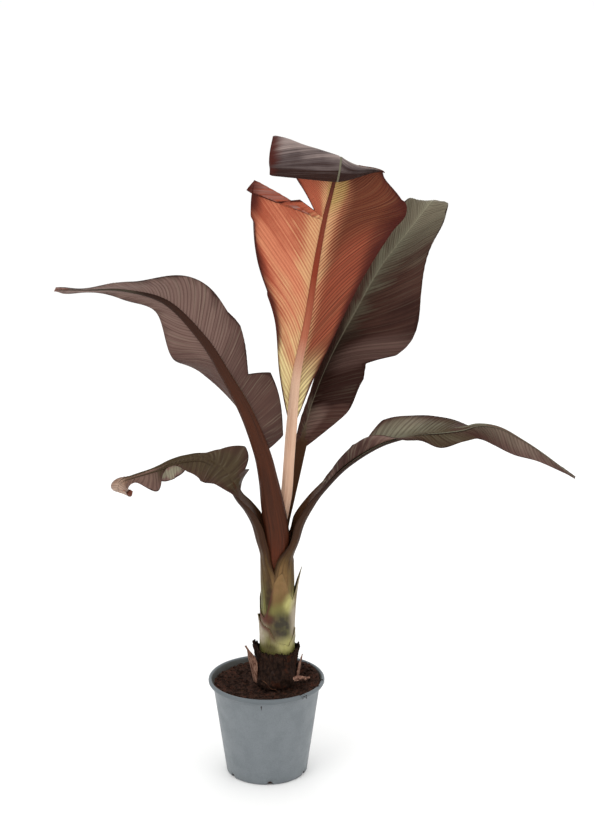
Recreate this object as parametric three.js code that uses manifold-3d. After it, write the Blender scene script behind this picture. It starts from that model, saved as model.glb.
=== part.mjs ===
// A young red-leaved banana plant, about a metre tall, in a round plastic nursery pot.
// Millimetres. The origin is at the centre of the pot's flat underside, +Z is up,
// +X is the plant's right hand side seen from its front, and the front looks along +Y.
import * as THREE from "three";
import { mergeVertices } from "three/addons/utils/BufferGeometryUtils.js";
import Module from "manifold-3d";

const wasm = await Module();
wasm.setup();

// Driving sizes. Every solid keeps GAP clear of the one that it meets.
const GAP = 0.3;
const POT = { height: 162, rim: 95, under_rim: 87, foot: 66.5, lip: 8, wall: 2, floor: 3 };
const DRAINS = { count: 6, first: -86, wide: 10, high: 7, deep: 8 };
const SOIL = { top: 148, low: 144, crown_clear: 46, heave: 5, clear: 0.4 };
const CROWN = { x: 16, y: -1, radius: 38.5, knob: 1.4 };
const STEM = { x: 18, y: 0, radius: 27.5, foot: 206, fork: 372 };
const STALK = { edge: 1.6, along: 10, across: 10, level: 0.35 };
const BLADE = { thick: 5.4, along: 24, across: 8, straighten: 0.15 };
const SIDES = { pot: 48, soil: 36, crown: 28, stem: 28, scale: 4, drain: 12 };
const RINGS = 8;
const STEP = 0.004;

const finish = {
  pot: { color: 0x84898c, roughness: 0.5, metalness: 0 },
  soil: { color: 0x33211b, roughness: 1, metalness: 0 },
  crown: { color: 0x2b1d18, roughness: 0.95, metalness: 0 },
  stem: { color: 0xa9a070, roughness: 0.6, metalness: 0 },
  stalk_dark: { color: 0x59301f, roughness: 0.55, metalness: 0 },
  stalk_olive: { color: 0x55431f, roughness: 0.55, metalness: 0 },
  stalk_pale: { color: 0xd9a98a, roughness: 0.5, metalness: 0 },
  blade_dark: { color: 0x5c4844, roughness: 0.55, metalness: 0 },
  blade_red: { color: 0xb5603f, roughness: 0.5, metalness: 0 },
  sheath: { color: 0x6d5638, roughness: 0.85, metalness: 0 },
  scale: { color: 0x4a352a, roughness: 0.95, metalness: 0 },
};

const plant = new THREE.Group();
const radians = THREE.MathUtils.degToRad;

function addPiece(name, geometry, look) {
  const mesh = new THREE.Mesh(geometry, new THREE.MeshStandardMaterial(finish[look]));
  mesh.name = name;
  plant.add(mesh);
}

// Drops the normals and uvs and joins equal vertices, so that the surface is one closed skin.
function closed(geometry) {
  const bare = geometry.clone();
  bare.deleteAttribute("normal");
  bare.deleteAttribute("uv");
  return mergeVertices(bare, 1e-3);
}

function toSolid(geometry) {
  const skin = closed(geometry);
  const vertProperties = new Float32Array(skin.attributes.position.array);
  const triVerts = new Uint32Array(skin.index.array);
  return new wasm.Manifold(new wasm.Mesh({ numProp: 3, vertProperties, triVerts }));
}

function toGeometry(solid) {
  const mesh = solid.getMesh();
  const geometry = new THREE.BufferGeometry();
  geometry.setAttribute("position", new THREE.BufferAttribute(new Float32Array(mesh.vertProperties), 3));
  geometry.setIndex(new THREE.BufferAttribute(new Uint32Array(mesh.triVerts), 1));
  return geometry;
}

// Moves every vertex of a geometry to where place(vector) puts it.
function reshape(geometry, place) {
  const spots = geometry.attributes.position;
  const spot = new THREE.Vector3();
  for (let i = 0; i < spots.count; i += 1) {
    place(spot.fromBufferAttribute(spots, i));
    spots.setXYZ(i, spot.x, spot.y, spot.z);
  }
  return closed(geometry);
}

// The unit vector that points at an azimuth (from +X towards +Y) and an elevation, in degrees.
function pointing([azimuth, elevation]) {
  const level = Math.cos(radians(elevation));
  return [
    level * Math.cos(radians(azimuth)),
    level * Math.sin(radians(azimuth)),
    Math.sin(radians(elevation)),
  ];
}

// A limb or leaf is a short table of stations, evenly spaced along it. Each row is turned into
// plain numbers: the rib's place, the way its upper side faces, and the section's own sizes.
function stations(rows) {
  return rows.map(([rib, faces, ...sizes]) => [...rib, ...pointing(faces), ...sizes.flat()]);
}

// The row at share s of the way along, on a Catmull-Rom curve through the stations.
function rowAt(table, s) {
  const last = table.length - 1;
  const place = Math.min(Math.max(s, 0), 1) * last;
  const i = Math.min(Math.floor(place), last - 1);
  const f = place - i;
  const b = table[i];
  const c = table[i + 1];
  const a = i > 0 ? table[i - 1] : b.map((v, k) => 2 * v - c[k]);
  const d = i + 2 <= last ? table[i + 2] : c.map((v, k) => 2 * v - b[k]);
  return b.map((v, k) => {
    const slope = (c[k] - a[k]) / 2;
    const bend = a[k] - 2.5 * v + 2 * c[k] - d[k] / 2;
    const twist = (d[k] - a[k]) / 2 + 1.5 * (v - c[k]);
    return v + f * (slope + f * (bend + f * twist));
  });
}

// The rib's place and its frame: forward to the tip, up from the upper side, across to the right.
// Where a stalk ends and its blade starts, both face the one way that their leaf's joint gives.
function frameAt({ table, start, end }, s) {
  const row = rowAt(table, s);
  const before = new THREE.Vector3(...rowAt(table, Math.max(s - STEP, 0)));
  const forward = new THREE.Vector3(...rowAt(table, Math.min(s + STEP, 1))).sub(before).normalize();
  if (start && s < STEP) forward.copy(start);
  if (end && s > 1 - STEP) forward.copy(end);
  const up = new THREE.Vector3(row[3], row[4], row[5]);
  up.addScaledVector(forward, -up.dot(forward)).normalize();
  const across = new THREE.Vector3().crossVectors(forward, up);
  return { rib: new THREE.Vector3(row[0], row[1], row[2]), forward, up, across, sizes: row.slice(6) };
}

// How much of the half blade is left at vein s, where a tear runs in from the margin.
function leftByTears(tears, s, side) {
  let left = 1;
  for (const tear of tears) {
    if (tear.side !== side || s <= tear.from || s >= tear.to) continue;
    const share = s < tear.deepest
      ? (s - tear.from) / (tear.deepest - tear.from)
      : (tear.to - s) / (tear.to - tear.deepest);
    left = Math.min(left, 1 - tear.depth * share);
  }
  return left;
}

// A point of a leaf blade. t runs from -1 at the left margin to 1 at the right one, as seen from
// the upper side with the tip up. Each half rises from the rib by its fold and bends on by its
// curl, and the veins sweep forward, but run straight across where a bent blade is cut in two.
// Lift is measured from the middle of the blade's thickness.
function bladePoint(leaf, s, t, lift) {
  const side = t < 0 ? "left" : "right";
  const sign = t < 0 ? -1 : 1;
  const bent = leaf.bend ? Math.min(1, Math.abs(s - leaf.bend) / BLADE.straighten) : 1;
  const v = Math.abs(t) * leftByTears(leaf.tears, s, side);
  const swept = s + leaf.sweep * bent * v * 4 * s * (1 - s);
  const { rib, up, across, sizes } = frameAt(leaf, swept);
  const [reach, fold, curl] = t < 0 ? sizes.slice(0, 3) : sizes.slice(3, 6);
  const start = radians(fold);
  const turn = Math.abs(curl) < 0.5 ? radians(0.5) : radians(curl);
  const angle = start + turn * v;
  const lean = t === 0 ? radians((sizes[4] - sizes[1]) / 2) : angle;
  const out = (reach * (Math.sin(angle) - Math.sin(start))) / turn;
  const rise = (reach * (Math.cos(start) - Math.cos(angle))) / turn;
  const wave = leaf.ripple * v * v * Math.sin(2 * Math.PI * leaf.waves * s + (t < 0 ? 1.3 : 0));
  return rib
    .clone()
    .addScaledVector(across, sign * (out - Math.sin(lean) * (lift + wave)))
    .addScaledVector(up, rise + Math.cos(lean) * (lift + wave));
}

// The shares at which a blade has a row of vertices: even steps, and the marks of its tears.
function bladeRows(leaf, from, to) {
  const marks = leaf.tears.flatMap((tear) => [tear.from, tear.deepest, tear.to]);
  const inside = marks.filter((mark) => mark > from && mark < to);
  const steps = Math.round(BLADE.along * (to - from));
  const even = Array.from({ length: steps + 1 }, (_, i) => from + ((to - from) * i) / steps);
  const near = (s) => inside.some((mark) => Math.abs(mark - s) < 0.4 / BLADE.along);
  const kept = even.filter((s, i) => i === 0 || i === steps || !near(s));
  return [...kept, ...inside].sort((a, b) => a - b);
}

// A closed blade from share `from` to share `to` of the leaf, with its midrib raised underneath.
function bladeSolid(leaf, from, to) {
  const rows = bladeRows(leaf, from, to);
  const box = new THREE.BoxGeometry(2, 1, 1, BLADE.across, 1, rows.length - 1);
  const step = 2 / BLADE.across;
  return reshape(box, (spot) => {
    const s = rows[Math.round((spot.z + 0.5) * (rows.length - 1))];
    const { sizes } = frameAt(leaf, s);
    const cell = Math.round(Math.abs(spot.x) / step);
    const half = spot.x > 0 ? sizes[0] : sizes[3];
    const rib = leaf.rib * (1 - 0.7 * s);
    const first = Math.min(0.5, (rib + 1) / half);
    const cells = BLADE.across / 2;
    const share = cell === 0 ? 0 : first + ((1 - first) * (cell - 1)) / (cells - 1);
    const keel = spot.y < 0 && cell === 0 ? rib : 0;
    spot.copy(bladePoint(leaf, s, -Math.sign(spot.x) * share, spot.y * BLADE.thick - keel));
  });
}

// A leaf stalk: its section is an arc, `half` wide and `deep` under its edges, hollow on its
// upper side where `full` is under 1 and round where it is 2. Its foot is cut level, to stand on
// the stem, and its other end stops GAP short of the blade.
function stalkSolid(stalk) {
  const box = new THREE.BoxGeometry(2, 1, 1, STALK.across, 1, STALK.along);
  return reshape(box, (spot) => {
    const s = spot.z + 0.5;
    const { rib, forward, up, across, sizes } = frameAt(stalk, s);
    const [half, deep, full] = sizes;
    const turn = (spot.x * Math.PI) / 2;
    const floor = -deep * Math.cos(turn) - STALK.edge / 2;
    const top = -deep * (1 - full) * Math.cos(turn) + STALK.edge / 2;
    const height = spot.y < 0 ? floor : top;
    spot
      .copy(rib)
      .addScaledVector(across, -half * Math.sin(turn))
      .addScaledVector(up, height)
      .addScaledVector(forward, s > 1 - STEP ? -GAP : 0);
    spot.z = rib.z + (spot.z - rib.z) * Math.min(1, s / STALK.level);
  });
}

// A round upright body from [height, radius, x, y] rows, made rough by `bumps`.
function roundSolid(rows, sides, bumps) {
  const column = new THREE.CylinderGeometry(1, 1, 1, sides, RINGS);
  column.rotateX(Math.PI / 2);
  return reshape(column, (spot) => {
    const [z, radius, x, y] = rowAt(rows, spot.z + 0.5);
    const angle = Math.atan2(spot.y, spot.x);
    const share = Math.hypot(spot.x, spot.y);
    const r = share * (radius + bumps(angle, z));
    spot.set(x + r * Math.cos(angle), y + r * Math.sin(angle), z);
  });
}

function pot() {
  const { height, rim, under_rim, foot, lip, wall, floor } = POT;
  const { count, first, wide, high, deep } = DRAINS;
  const lipFoot = height - lip;
  const profile = [
    [0, 0],
    [foot - 2, 0],
    [foot, 2],
    [under_rim, lipFoot - 4],
    [rim - 3.5, lipFoot],
    [rim, lipFoot + 3],
    [rim, height - 2],
    [rim - 1.5, height],
    [rim - 4, height],
    [rim - 6.2, height - 4.5],
    [under_rim - wall, lipFoot - 4],
    [foot - wall, floor],
    [0, floor],
  ].map(([r, z]) => new THREE.Vector2(r, z));
  const shell = new THREE.LatheGeometry(profile, SIDES.pot);
  shell.rotateX(Math.PI / 2);
  let solid = toSolid(shell);
  for (let i = 0; i < count; i += 1) {
    const cutter = new THREE.CylinderGeometry(wide / 2, wide / 2, 2 * deep, SIDES.drain);
    cutter.scale(1, 1, (2 * high) / wide);
    cutter.translate(0, foot, 0);
    cutter.rotateZ(radians(first - 90 + (360 / count) * i));
    solid = solid.subtract(toSolid(cutter));
  }
  addPiece("pot", toGeometry(solid), "pot");
}

function pottingSoil() {
  const { height, under_rim, foot, lip, wall, floor } = POT;
  const { top, low, crown_clear, heave, clear } = SOIL;
  const slope = (under_rim - foot) / (height - lip - 4 - floor);
  const inner = (z) => foot - wall - clear + (z - floor) * slope;
  const disc = new THREE.CylinderGeometry(1, 1, 1, SIDES.soil, 1);
  disc.rotateX(Math.PI / 2);
  const body = toSolid(reshape(disc, (spot) => {
    const z = spot.z > 0 ? top : floor + GAP;
    spot.set(spot.x * inner(z), spot.y * inner(z), z);
  }));
  const mound = new THREE.LatheGeometry(
    [
      [0, low],
      [inner(low), low],
      [inner(low), top],
      [inner(low) - 8, top + heave],
      [crown_clear + 16, top + 1],
      [crown_clear + 10, top],
      [0, top],
    ].map(([r, z]) => new THREE.Vector2(r, z)),
    SIDES.soil,
  );
  mound.rotateX(Math.PI / 2);
  addPiece("potting_soil", toGeometry(body.add(toSolid(mound))), "soil");
}

function rootCrown() {
  const { x, y, radius, knob } = CROWN;
  const foot = SOIL.top + GAP;
  const top = STEM.foot - GAP;
  const rise = top - foot;
  const rows = [
    [foot, radius - 2.5, x, y],
    [foot + 0.25 * rise, radius, x, y],
    [foot + 0.5 * rise, radius - 1.5, x, y],
    [foot + 0.75 * rise, radius - 6.5, x + 1, 0],
    [top, radius - 10.5, x + 1, 0],
  ];
  const knobs = (angle, z) =>
    z > foot + 0.5 ? knob * (Math.sin(5 * angle + z / 9) + 0.6 * Math.sin(9 * angle - z / 6)) : 0;
  addPiece("root_crown", roundSolid(rows, SIDES.crown, knobs), "crown");
}

function pseudostem() {
  const { x, y, radius, foot, fork } = STEM;
  const top = fork - GAP;
  const rise = top - foot;
  const rows = [
    [foot, radius - 0.5, x - 1, y],
    [foot + 0.25 * rise, radius - 1, x - 0.5, y],
    [foot + 0.5 * rise, radius + 0.3, x, y],
    [foot + 0.75 * rise, radius + 0.4, x, y],
    [top, radius - 0.3, x, y],
  ];
  addPiece("pseudostem", roundSolid(rows, SIDES.stem, () => 0), "stem");
}

// What is left of a dead sheath or scale: a thin plate that stands round an upright axis. A row is
// [height, half its width in degrees, its inner face's distance from the axis].
function scaleSolid({ x, y, facing, thick, rows }) {
  const box = new THREE.BoxGeometry(2, 1, 1, SIDES.scale, 1, RINGS);
  return reshape(box, (spot) => {
    const [z, half, inner] = rowAt(rows, spot.z + 0.5);
    const angle = radians(facing - half * spot.x);
    const r = inner + thick * (spot.y + 0.5);
    spot.set(x + r * Math.cos(angle), y + r * Math.sin(angle), z);
  });
}

// A short sheath tip on each side of the stem, and a scale on each side of the crown.
const remains = {
  old_sheath_right: {
    look: "sheath", x: STEM.x, y: STEM.y, facing: -10, thick: 1.6,
    rows: [[296, 30, 28.3], [314, 24, 29], [332, 14, 34], [352, 4, 38.5]],
  },
  old_sheath_left: {
    look: "sheath", x: STEM.x, y: STEM.y, facing: 190, thick: 1.6,
    rows: [[262, 16, 27.8], [280, 14, 28.3], [298, 10, 28.6], [316, 5, 29.6]],
  },
  crown_scale_left: {
    look: "scale", x: CROWN.x, y: CROWN.y, facing: 209, thick: 2,
    rows: [[160, 16, 38.8], [178, 15, 41], [202, 9, 46.5], [226, 3, 56]],
  },
  crown_scale_right: {
    look: "scale", x: CROWN.x, y: CROWN.y, facing: -13, thick: 2,
    rows: [[172, 17, 39.1], [188, 16, 40], [204, 11, 40], [221, 4, 36]],
  },
};

function oldScales() {
  for (const [name, scale] of Object.entries(remains)) {
    addPiece(name, scaleSolid(scale), scale.look);
  }
}

// Leaves. Stalks leave the stem as nested arcs: the two outer leaves left and right, then the
// front and back ones, round the youngest. A stalk's row is the middle of the line between its
// edges, the way its hollow faces, and [half width, depth, fullness]. A blade's row is the rib's
// place, the way the upper side faces, and [reach, fold, curl] of the left half and of the right
// half. A tear's shares are counted along the rib, and so is the bend that a blade is cut at.
const leaves = {
  upper_left: {
    stalkLook: "stalk_dark", look: "blade_dark", sweep: 0.09, ripple: 2, waves: 3, rib: 8, bend: 0.5,
    stalk: [
      [[18, -1, 372], [90, 0], [15.5, 15, 0.34]],
      [[17, -11, 418], [88, 4], [18.5, 16, 0.45]],
      [[11, -18, 464], [84, 8], [18, 14, 0.6]],
      [[4, -27, 510], [86, 10], [15, 12, 0.8]],
      [[-6, -34, 556], [92, 8], [13, 9, 0.9]],
    ],
    rows: [
      [[-6, -34, 556], [95, 0], [13, 10, 0], [13, 20, 0]],
      [[-30, -50, 625], [98, 0], [60, 5, 0], [16, 60, 0]],
      [[-61, -70, 689], [102, 2], [62, 5, 0], [46, 60, 0]],
      [[-93, -92, 749], [105, 5], [60, 10, 0], [58, 22, 0]],
      [[-145, -116, 811], [95, 22], [57, 0, 0], [30, 18, 0]],
      [[-204, -138, 835], [90, 48], [31, -8, 0], [22, 0, 0]],
      [[-260, -156, 840], [90, 57], [13, -10, 0], [13, 0, 0]],
      [[-304, -170, 843], [90, 55], [7, 0, 0], [7, 0, 0]],
    ],
    tears: [{ side: "left", from: 0.165, deepest: 0.175, to: 0.3, depth: 0.32 }],
  },
  centre: {
    stalkLook: "stalk_pale", look: "blade_red", sweep: 0.12, ripple: 1.5, waves: 3, rib: 7, bend: 0.64,
    stalk: [
      [[18, 0, 372], [90, 0], [9, 8, 2]],
      [[24, 0, 424], [90, 0], [9, 8, 2]],
      [[33, 1, 476], [90, 0], [9, 8, 1.6]],
      [[37, 2, 528], [90, 0], [8.5, 8, 1.2]],
      [[41, 3, 581], [90, 0], [8.5, 8, 1]],
    ],
    rows: [
      [[41, 3, 581], [90, 0], [9, 0, 0], [9, 0, 0]],
      [[49, 4, 668], [90, 0], [28, 8, 0], [27, 8, 0]],
      [[66, 6, 755], [90, 0], [51, 8, 0], [52, 8, 0]],
      [[79, 5, 842], [90, 0], [80, 8, 0], [86, 8, 0]],
      [[92, 0, 915], [90, 0], [114, 6, 0], [116, 6, 0]],
      [[103, -6, 962], [90, 0], [118, 0, 0], [116, 0, 0]],
      [[111, -13, 998], [95, 0], [76, -4, 0], [105, 2, 0]],
      [[115, -32, 1017], [0, 76], [62, -12, 0], [107, 4, 0]],
      [[112, -51, 998], [268, 5], [56, -14, 0], [106, 6, 0]],
      [[109, -36, 979], [190, -76], [48, -14, 0], [102, 11, 0]],
    ],
    tears: [{ side: "right", from: 0.43, deepest: 0.447, to: 0.605, depth: 0.84 }],
  },
  back_right: {
    stalkLook: "stalk_dark", look: "blade_dark", sweep: 0.09, ripple: 2, waves: 2.5, rib: 6,
    stalk: [
      [[18, 1, 372], [270, 0], [15.5, 15, 0.34]],
      [[24.5, 11, 416], [268, 2], [10.5, 12, 0.6]],
      [[36, 19, 460], [266, 4], [10, 11, 0.8]],
      [[47, 25, 504], [264, 6], [9, 10, 0.9]],
      [[57, 32, 548], [262, 8], [9, 8, 0.9]],
    ],
    rows: [
      [[57, 32, 548], [262, 8], [9, 10, 0], [9, 10, 0]],
      [[75, 48, 614], [258, 12], [20, 80, 0], [60, 5, 0]],
      [[104, 62, 684], [250, 20], [26, 78, 0], [70, 5, 0]],
      [[143, 80, 754], [245, 25], [50, 55, 0], [112, 5, 0]],
      [[184, 100, 822], [242, 28], [60, 30, 0], [90, 5, 0]],
      [[231, 122, 879], [240, 35], [52, 15, 0], [50, 0, 0]],
      [[267, 150, 913], [232, 48], [38, 8, 0], [40, 0, 0]],
      [[276, 194, 905], [225, 66], [22, 0, 0], [22, 0, 0]],
    ],
    tears: [{ side: "right", from: 0.21, deepest: 0.264, to: 0.3, depth: 0.24 }],
  },
  lower_left: {
    stalkLook: "stalk_olive", look: "blade_dark", sweep: 0.07, ripple: 2, waves: 2, rib: 5, bend: 0.3,
    stalk: [
      [[17, 0, 372], [0, 0], [26, 26, 0.26]],
      [[3, -5, 405], [355, 12], [20, 19, 0.4]],
      [[-6, -12, 434], [350, 26], [16, 17, 0.55]],
      [[-22, -20, 461], [345, 40], [13, 13, 0.8]],
      [[-41, -30, 485], [330, 45], [11, 9, 0.9]],
    ],
    rows: [
      [[-41, -30, 485], [285, 20], [10, 0, 0], [17, 0, 0]],
      [[-62, -42, 529], [272, 20], [30, 0, 0], [36, 0, 0]],
      [[-94, -58, 555], [275, 50], [38, -25, 0], [11, -10, 0]],
      [[-124, -64, 557], [272, 60], [22, -40, 0], [20, -80, 0]],
      [[-146, -68, 553], [272, 60], [9, -40, 0], [31, -108, 0]],
      [[-163, -71, 546], [272, 60], [12, -40, 0], [30, -108, 0]],
      [[-178, -74, 541], [272, 60], [34, -42, 0], [20, -100, 0]],
      [[-204, -79, 534], [268, 55], [11, -40, 0], [10, -60, 0]],
      [[-222, -84, 527], [245, 40], [18, -30, 0], [15, -30, 0]],
      [[-228, -86, 512], [228, 0], [19, 0, 0], [17, 0, 0]],
      [[-218, -80, 502], [215, -55], [16, 0, 0], [14, 0, 0]],
    ],
    tears: [],
  },
  lower_right: {
    stalkLook: "stalk_olive", look: "blade_dark", sweep: 0.08, ripple: 2, waves: 3, rib: 6, bend: 0.4,
    stalk: [
      [[19, 0, 372], [180, 0], [26, 26, 0.26]],
      [[39, -4, 405], [185, 12], [19, 15, 0.4]],
      [[47, -10, 436], [190, 26], [15, 16, 0.55]],
      [[65, -15, 466], [190, 36], [13, 13, 0.8]],
      [[87, -22, 494], [190, 42], [11, 9, 0.9]],
    ],
    rows: [
      [[87, -22, 494], [190, 42], [10, 20, 0], [12, 30, 0]],
      [[125, -32, 536], [195, 48], [14, 50, 0], [22, 75, 0]],
      [[178, -44, 573], [215, 62], [33, 42, 0], [27, 75, 0]],
      [[232, -51, 590], [262, 68], [40, 8, 0], [14, -10, 0]],
      [[271, -54, 594], [272, 62], [31, 0, 0], [27, -45, 0]],
      [[304, -56, 598], [272, 60], [26, -25, 0], [21, -55, 0]],
      [[330, -58, 605], [275, 60], [22, -80, 0], [23, -50, 0]],
      [[363, -58, 600], [285, 60], [22, -100, 0], [29, -50, 0]],
      [[398, -60, 581], [295, 58], [18, -90, 0], [27, -45, 0]],
      [[434, -60, 557], [310, 55], [10, -60, 0], [15, -35, 0]],
      [[483, -60, 519], [325, 50], [4, 0, 0], [4, 0, 0]],
    ],
    tears: [],
  },
};

// The one direction in which a leaf's stalk ends and its blade starts.
function jointOf(leaf) {
  const before = new THREE.Vector3(...leaf.stalk.at(-2)[0]);
  return new THREE.Vector3(...leaf.rows[1][0]).sub(before).normalize();
}

// A blade that bends is cut across at the bend, GAP clear on each side of the cut.
function leafBlade(name, leaf) {
  if (!leaf.bend) {
    addPiece(`blade_${name}`, bladeSolid(leaf, 0, 1), leaf.look);
    return;
  }
  const before = frameAt(leaf, leaf.bend - STEP).rib;
  const clear = (GAP * 2 * STEP) / frameAt(leaf, leaf.bend + STEP).rib.distanceTo(before);
  addPiece(`blade_${name}`, bladeSolid(leaf, 0, leaf.bend - clear), leaf.look);
  addPiece(`blade_${name}_tip`, bladeSolid(leaf, leaf.bend + clear, 1), leaf.look);
}

function leafPieces() {
  for (const [name, leaf] of Object.entries(leaves)) {
    leaf.table = stations(leaf.rows);
    leaf.start = jointOf(leaf);
    const stalk = { table: stations(leaf.stalk), end: leaf.start };
    addPiece(`petiole_${name}`, stalkSolid(stalk), leaf.stalkLook);
    leafBlade(name, leaf);
  }
}

pot();
pottingSoil();
rootCrown();
pseudostem();
oldScales();
leafPieces();

export default plant;
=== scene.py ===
"""A young red-leaved banana plant in a round plastic nursery pot.

The frame's solids place the pot, the peat and the crown and give their main sizes. The tables below
give the rest. Each leaf is one limb, from its sheath on the stem through its stalk to its midrib,
and one thin veined blade.
Lengths in the tables are millimetres and angles degrees; everything built is in metres.
"""

import math
import random

import bmesh
import bpy
import numpy as np
from mathutils import Matrix, Vector, noise


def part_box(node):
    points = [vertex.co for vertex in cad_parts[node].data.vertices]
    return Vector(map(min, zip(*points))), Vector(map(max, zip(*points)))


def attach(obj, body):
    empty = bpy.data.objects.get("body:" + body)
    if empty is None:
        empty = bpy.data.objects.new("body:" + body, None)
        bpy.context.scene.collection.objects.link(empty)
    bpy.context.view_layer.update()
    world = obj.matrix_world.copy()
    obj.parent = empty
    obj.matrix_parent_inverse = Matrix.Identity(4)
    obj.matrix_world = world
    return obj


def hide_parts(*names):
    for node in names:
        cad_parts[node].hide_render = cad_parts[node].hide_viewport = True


bl_info = {
    "name": "Potted banana plant",
    "version": (1, 0, 0),
    "blender": (4, 5, 0),
    "location": "3D View > Sidebar > Banana plant",
    "description": "Builds a red-leaved banana plant in its nursery pot around a fixed frame",
    "category": "Add Mesh",
}

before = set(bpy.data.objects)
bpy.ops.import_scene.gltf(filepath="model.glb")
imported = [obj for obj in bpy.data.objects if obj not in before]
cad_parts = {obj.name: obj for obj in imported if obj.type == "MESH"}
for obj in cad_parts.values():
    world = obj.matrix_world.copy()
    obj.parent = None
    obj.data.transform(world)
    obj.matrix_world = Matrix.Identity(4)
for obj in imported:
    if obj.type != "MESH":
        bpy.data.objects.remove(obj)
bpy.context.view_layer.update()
_, POT_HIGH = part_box("pot")
SOIL_LOW, SOIL_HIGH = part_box("potting_soil")
CROWN_LOW, CROWN_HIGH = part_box("root_crown")

MM = 0.001
SEED = 7
WELD = 1e-6

# Rows of a limb, from its foot up to where the blade starts: the middle of the line between the
# section's edges, the way its hollow faces, and the section's half width, depth, fullness, how
# far it wraps to the left and to the right, and how evenly thick its wall is.
SHEATHS = {
    "lower_right": [
        [[18, 0, 204], [180, 0], [27.6, 27.6, 0.05, 150, 150, 1]],
        [[18, 0, 246], [180, 0], [27.2, 27.2, 0.05, 145, 138, 1]],
        [[18, 0, 288], [180, 0], [27.4, 27.4, 0.06, 128, 124, 1]],
        [[18, 0, 330], [180, 0], [27.6, 27.6, 0.1, 108, 106, 0.7]],
        [[19, 0, 372], [180, 0], [27, 26.4, 0.22, 92, 88, 0.3]],
        [[39, -4, 405], [185, 12], [19, 15, 0.4, 90, 90, 0]],
        [[47, -10, 436], [190, 26], [15, 16, 0.55, 90, 90, 0]],
        [[65, -15, 466], [190, 36], [13, 13, 0.8, 90, 90, 0]],
        [[87, -22, 494], [190, 42], [11, 9, 0.9, 90, 90, 0]],
    ],
    "lower_left": [
        [[18, 0, 204], [0, 0], [26.4, 26.4, 0.05, 150, 150, 1]],
        [[18, 0, 246], [0, 0], [26.2, 26.2, 0.05, 140, 145, 1]],
        [[18, 0, 288], [0, 0], [26.4, 26.4, 0.06, 118, 128, 1]],
        [[18, 0, 330], [0, 0], [26.8, 26.8, 0.1, 94, 104, 0.7]],
        [[17, 0, 372], [0, 0], [26.6, 26.4, 0.22, 64, 90, 0.3]],
        [[3, -5, 405], [355, 12], [20, 19, 0.4, 84, 90, 0]],
        [[-6, -12, 434], [350, 26], [16, 17, 0.55, 90, 90, 0]],
        [[-22, -20, 461], [345, 40], [13, 13, 0.8, 90, 90, 0]],
        [[-41, -30, 485], [330, 45], [11, 9, 0.9, 90, 90, 0]],
    ],
    "upper_left": [
        [[18, 0, 330], [90, 0], [24, 24, 0.1, 80, 80, 0.5]],
        [[18, -1, 372], [90, 0], [22.5, 20.5, 0.3, 86, 86, 0.2]],
        [[17, -11, 418], [88, 4], [20, 16, 0.45, 90, 90, 0]],
        [[11, -18, 464], [84, 8], [18.5, 14, 0.6, 90, 90, 0]],
        [[4, -27, 510], [86, 10], [15, 12, 0.8, 90, 90, 0]],
        [[-6, -34, 556], [92, 8], [13, 9, 0.9, 90, 90, 0]],
    ],
    "back_right": [
        [[18, 0, 330], [270, 0], [23, 23, 0.1, 80, 80, 0.5]],
        [[18, 1, 372], [270, 0], [17.5, 17, 0.34, 90, 90, 0.2]],
        [[24.5, 11, 416], [268, 2], [12, 12, 0.6, 90, 90, 0]],
        [[36, 19, 460], [266, 4], [10, 11, 0.8, 90, 90, 0]],
        [[47, 25, 504], [264, 6], [9, 10, 0.9, 90, 90, 0]],
        [[57, 32, 548], [262, 8], [9, 8, 0.9, 90, 90, 0]],
    ],
    "centre": [
        [[18, 0, 330], [90, 0], [9, 8, 1.9, 90, 90, 0]],
        [[18, 0, 372], [90, 0], [9, 8, 1.9, 90, 90, 0]],
        [[24, 0, 424], [90, 0], [9, 8, 1.9, 90, 90, 0]],
        [[33, 1, 476], [90, 0], [9, 8, 1.5, 90, 90, 0]],
        [[37, 2, 528], [90, 0], [8.5, 8, 1.1, 90, 90, 0]],
        [[41, 3, 581], [90, 0], [8.5, 8, 0.95, 90, 90, 0]],
    ],
}

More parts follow.
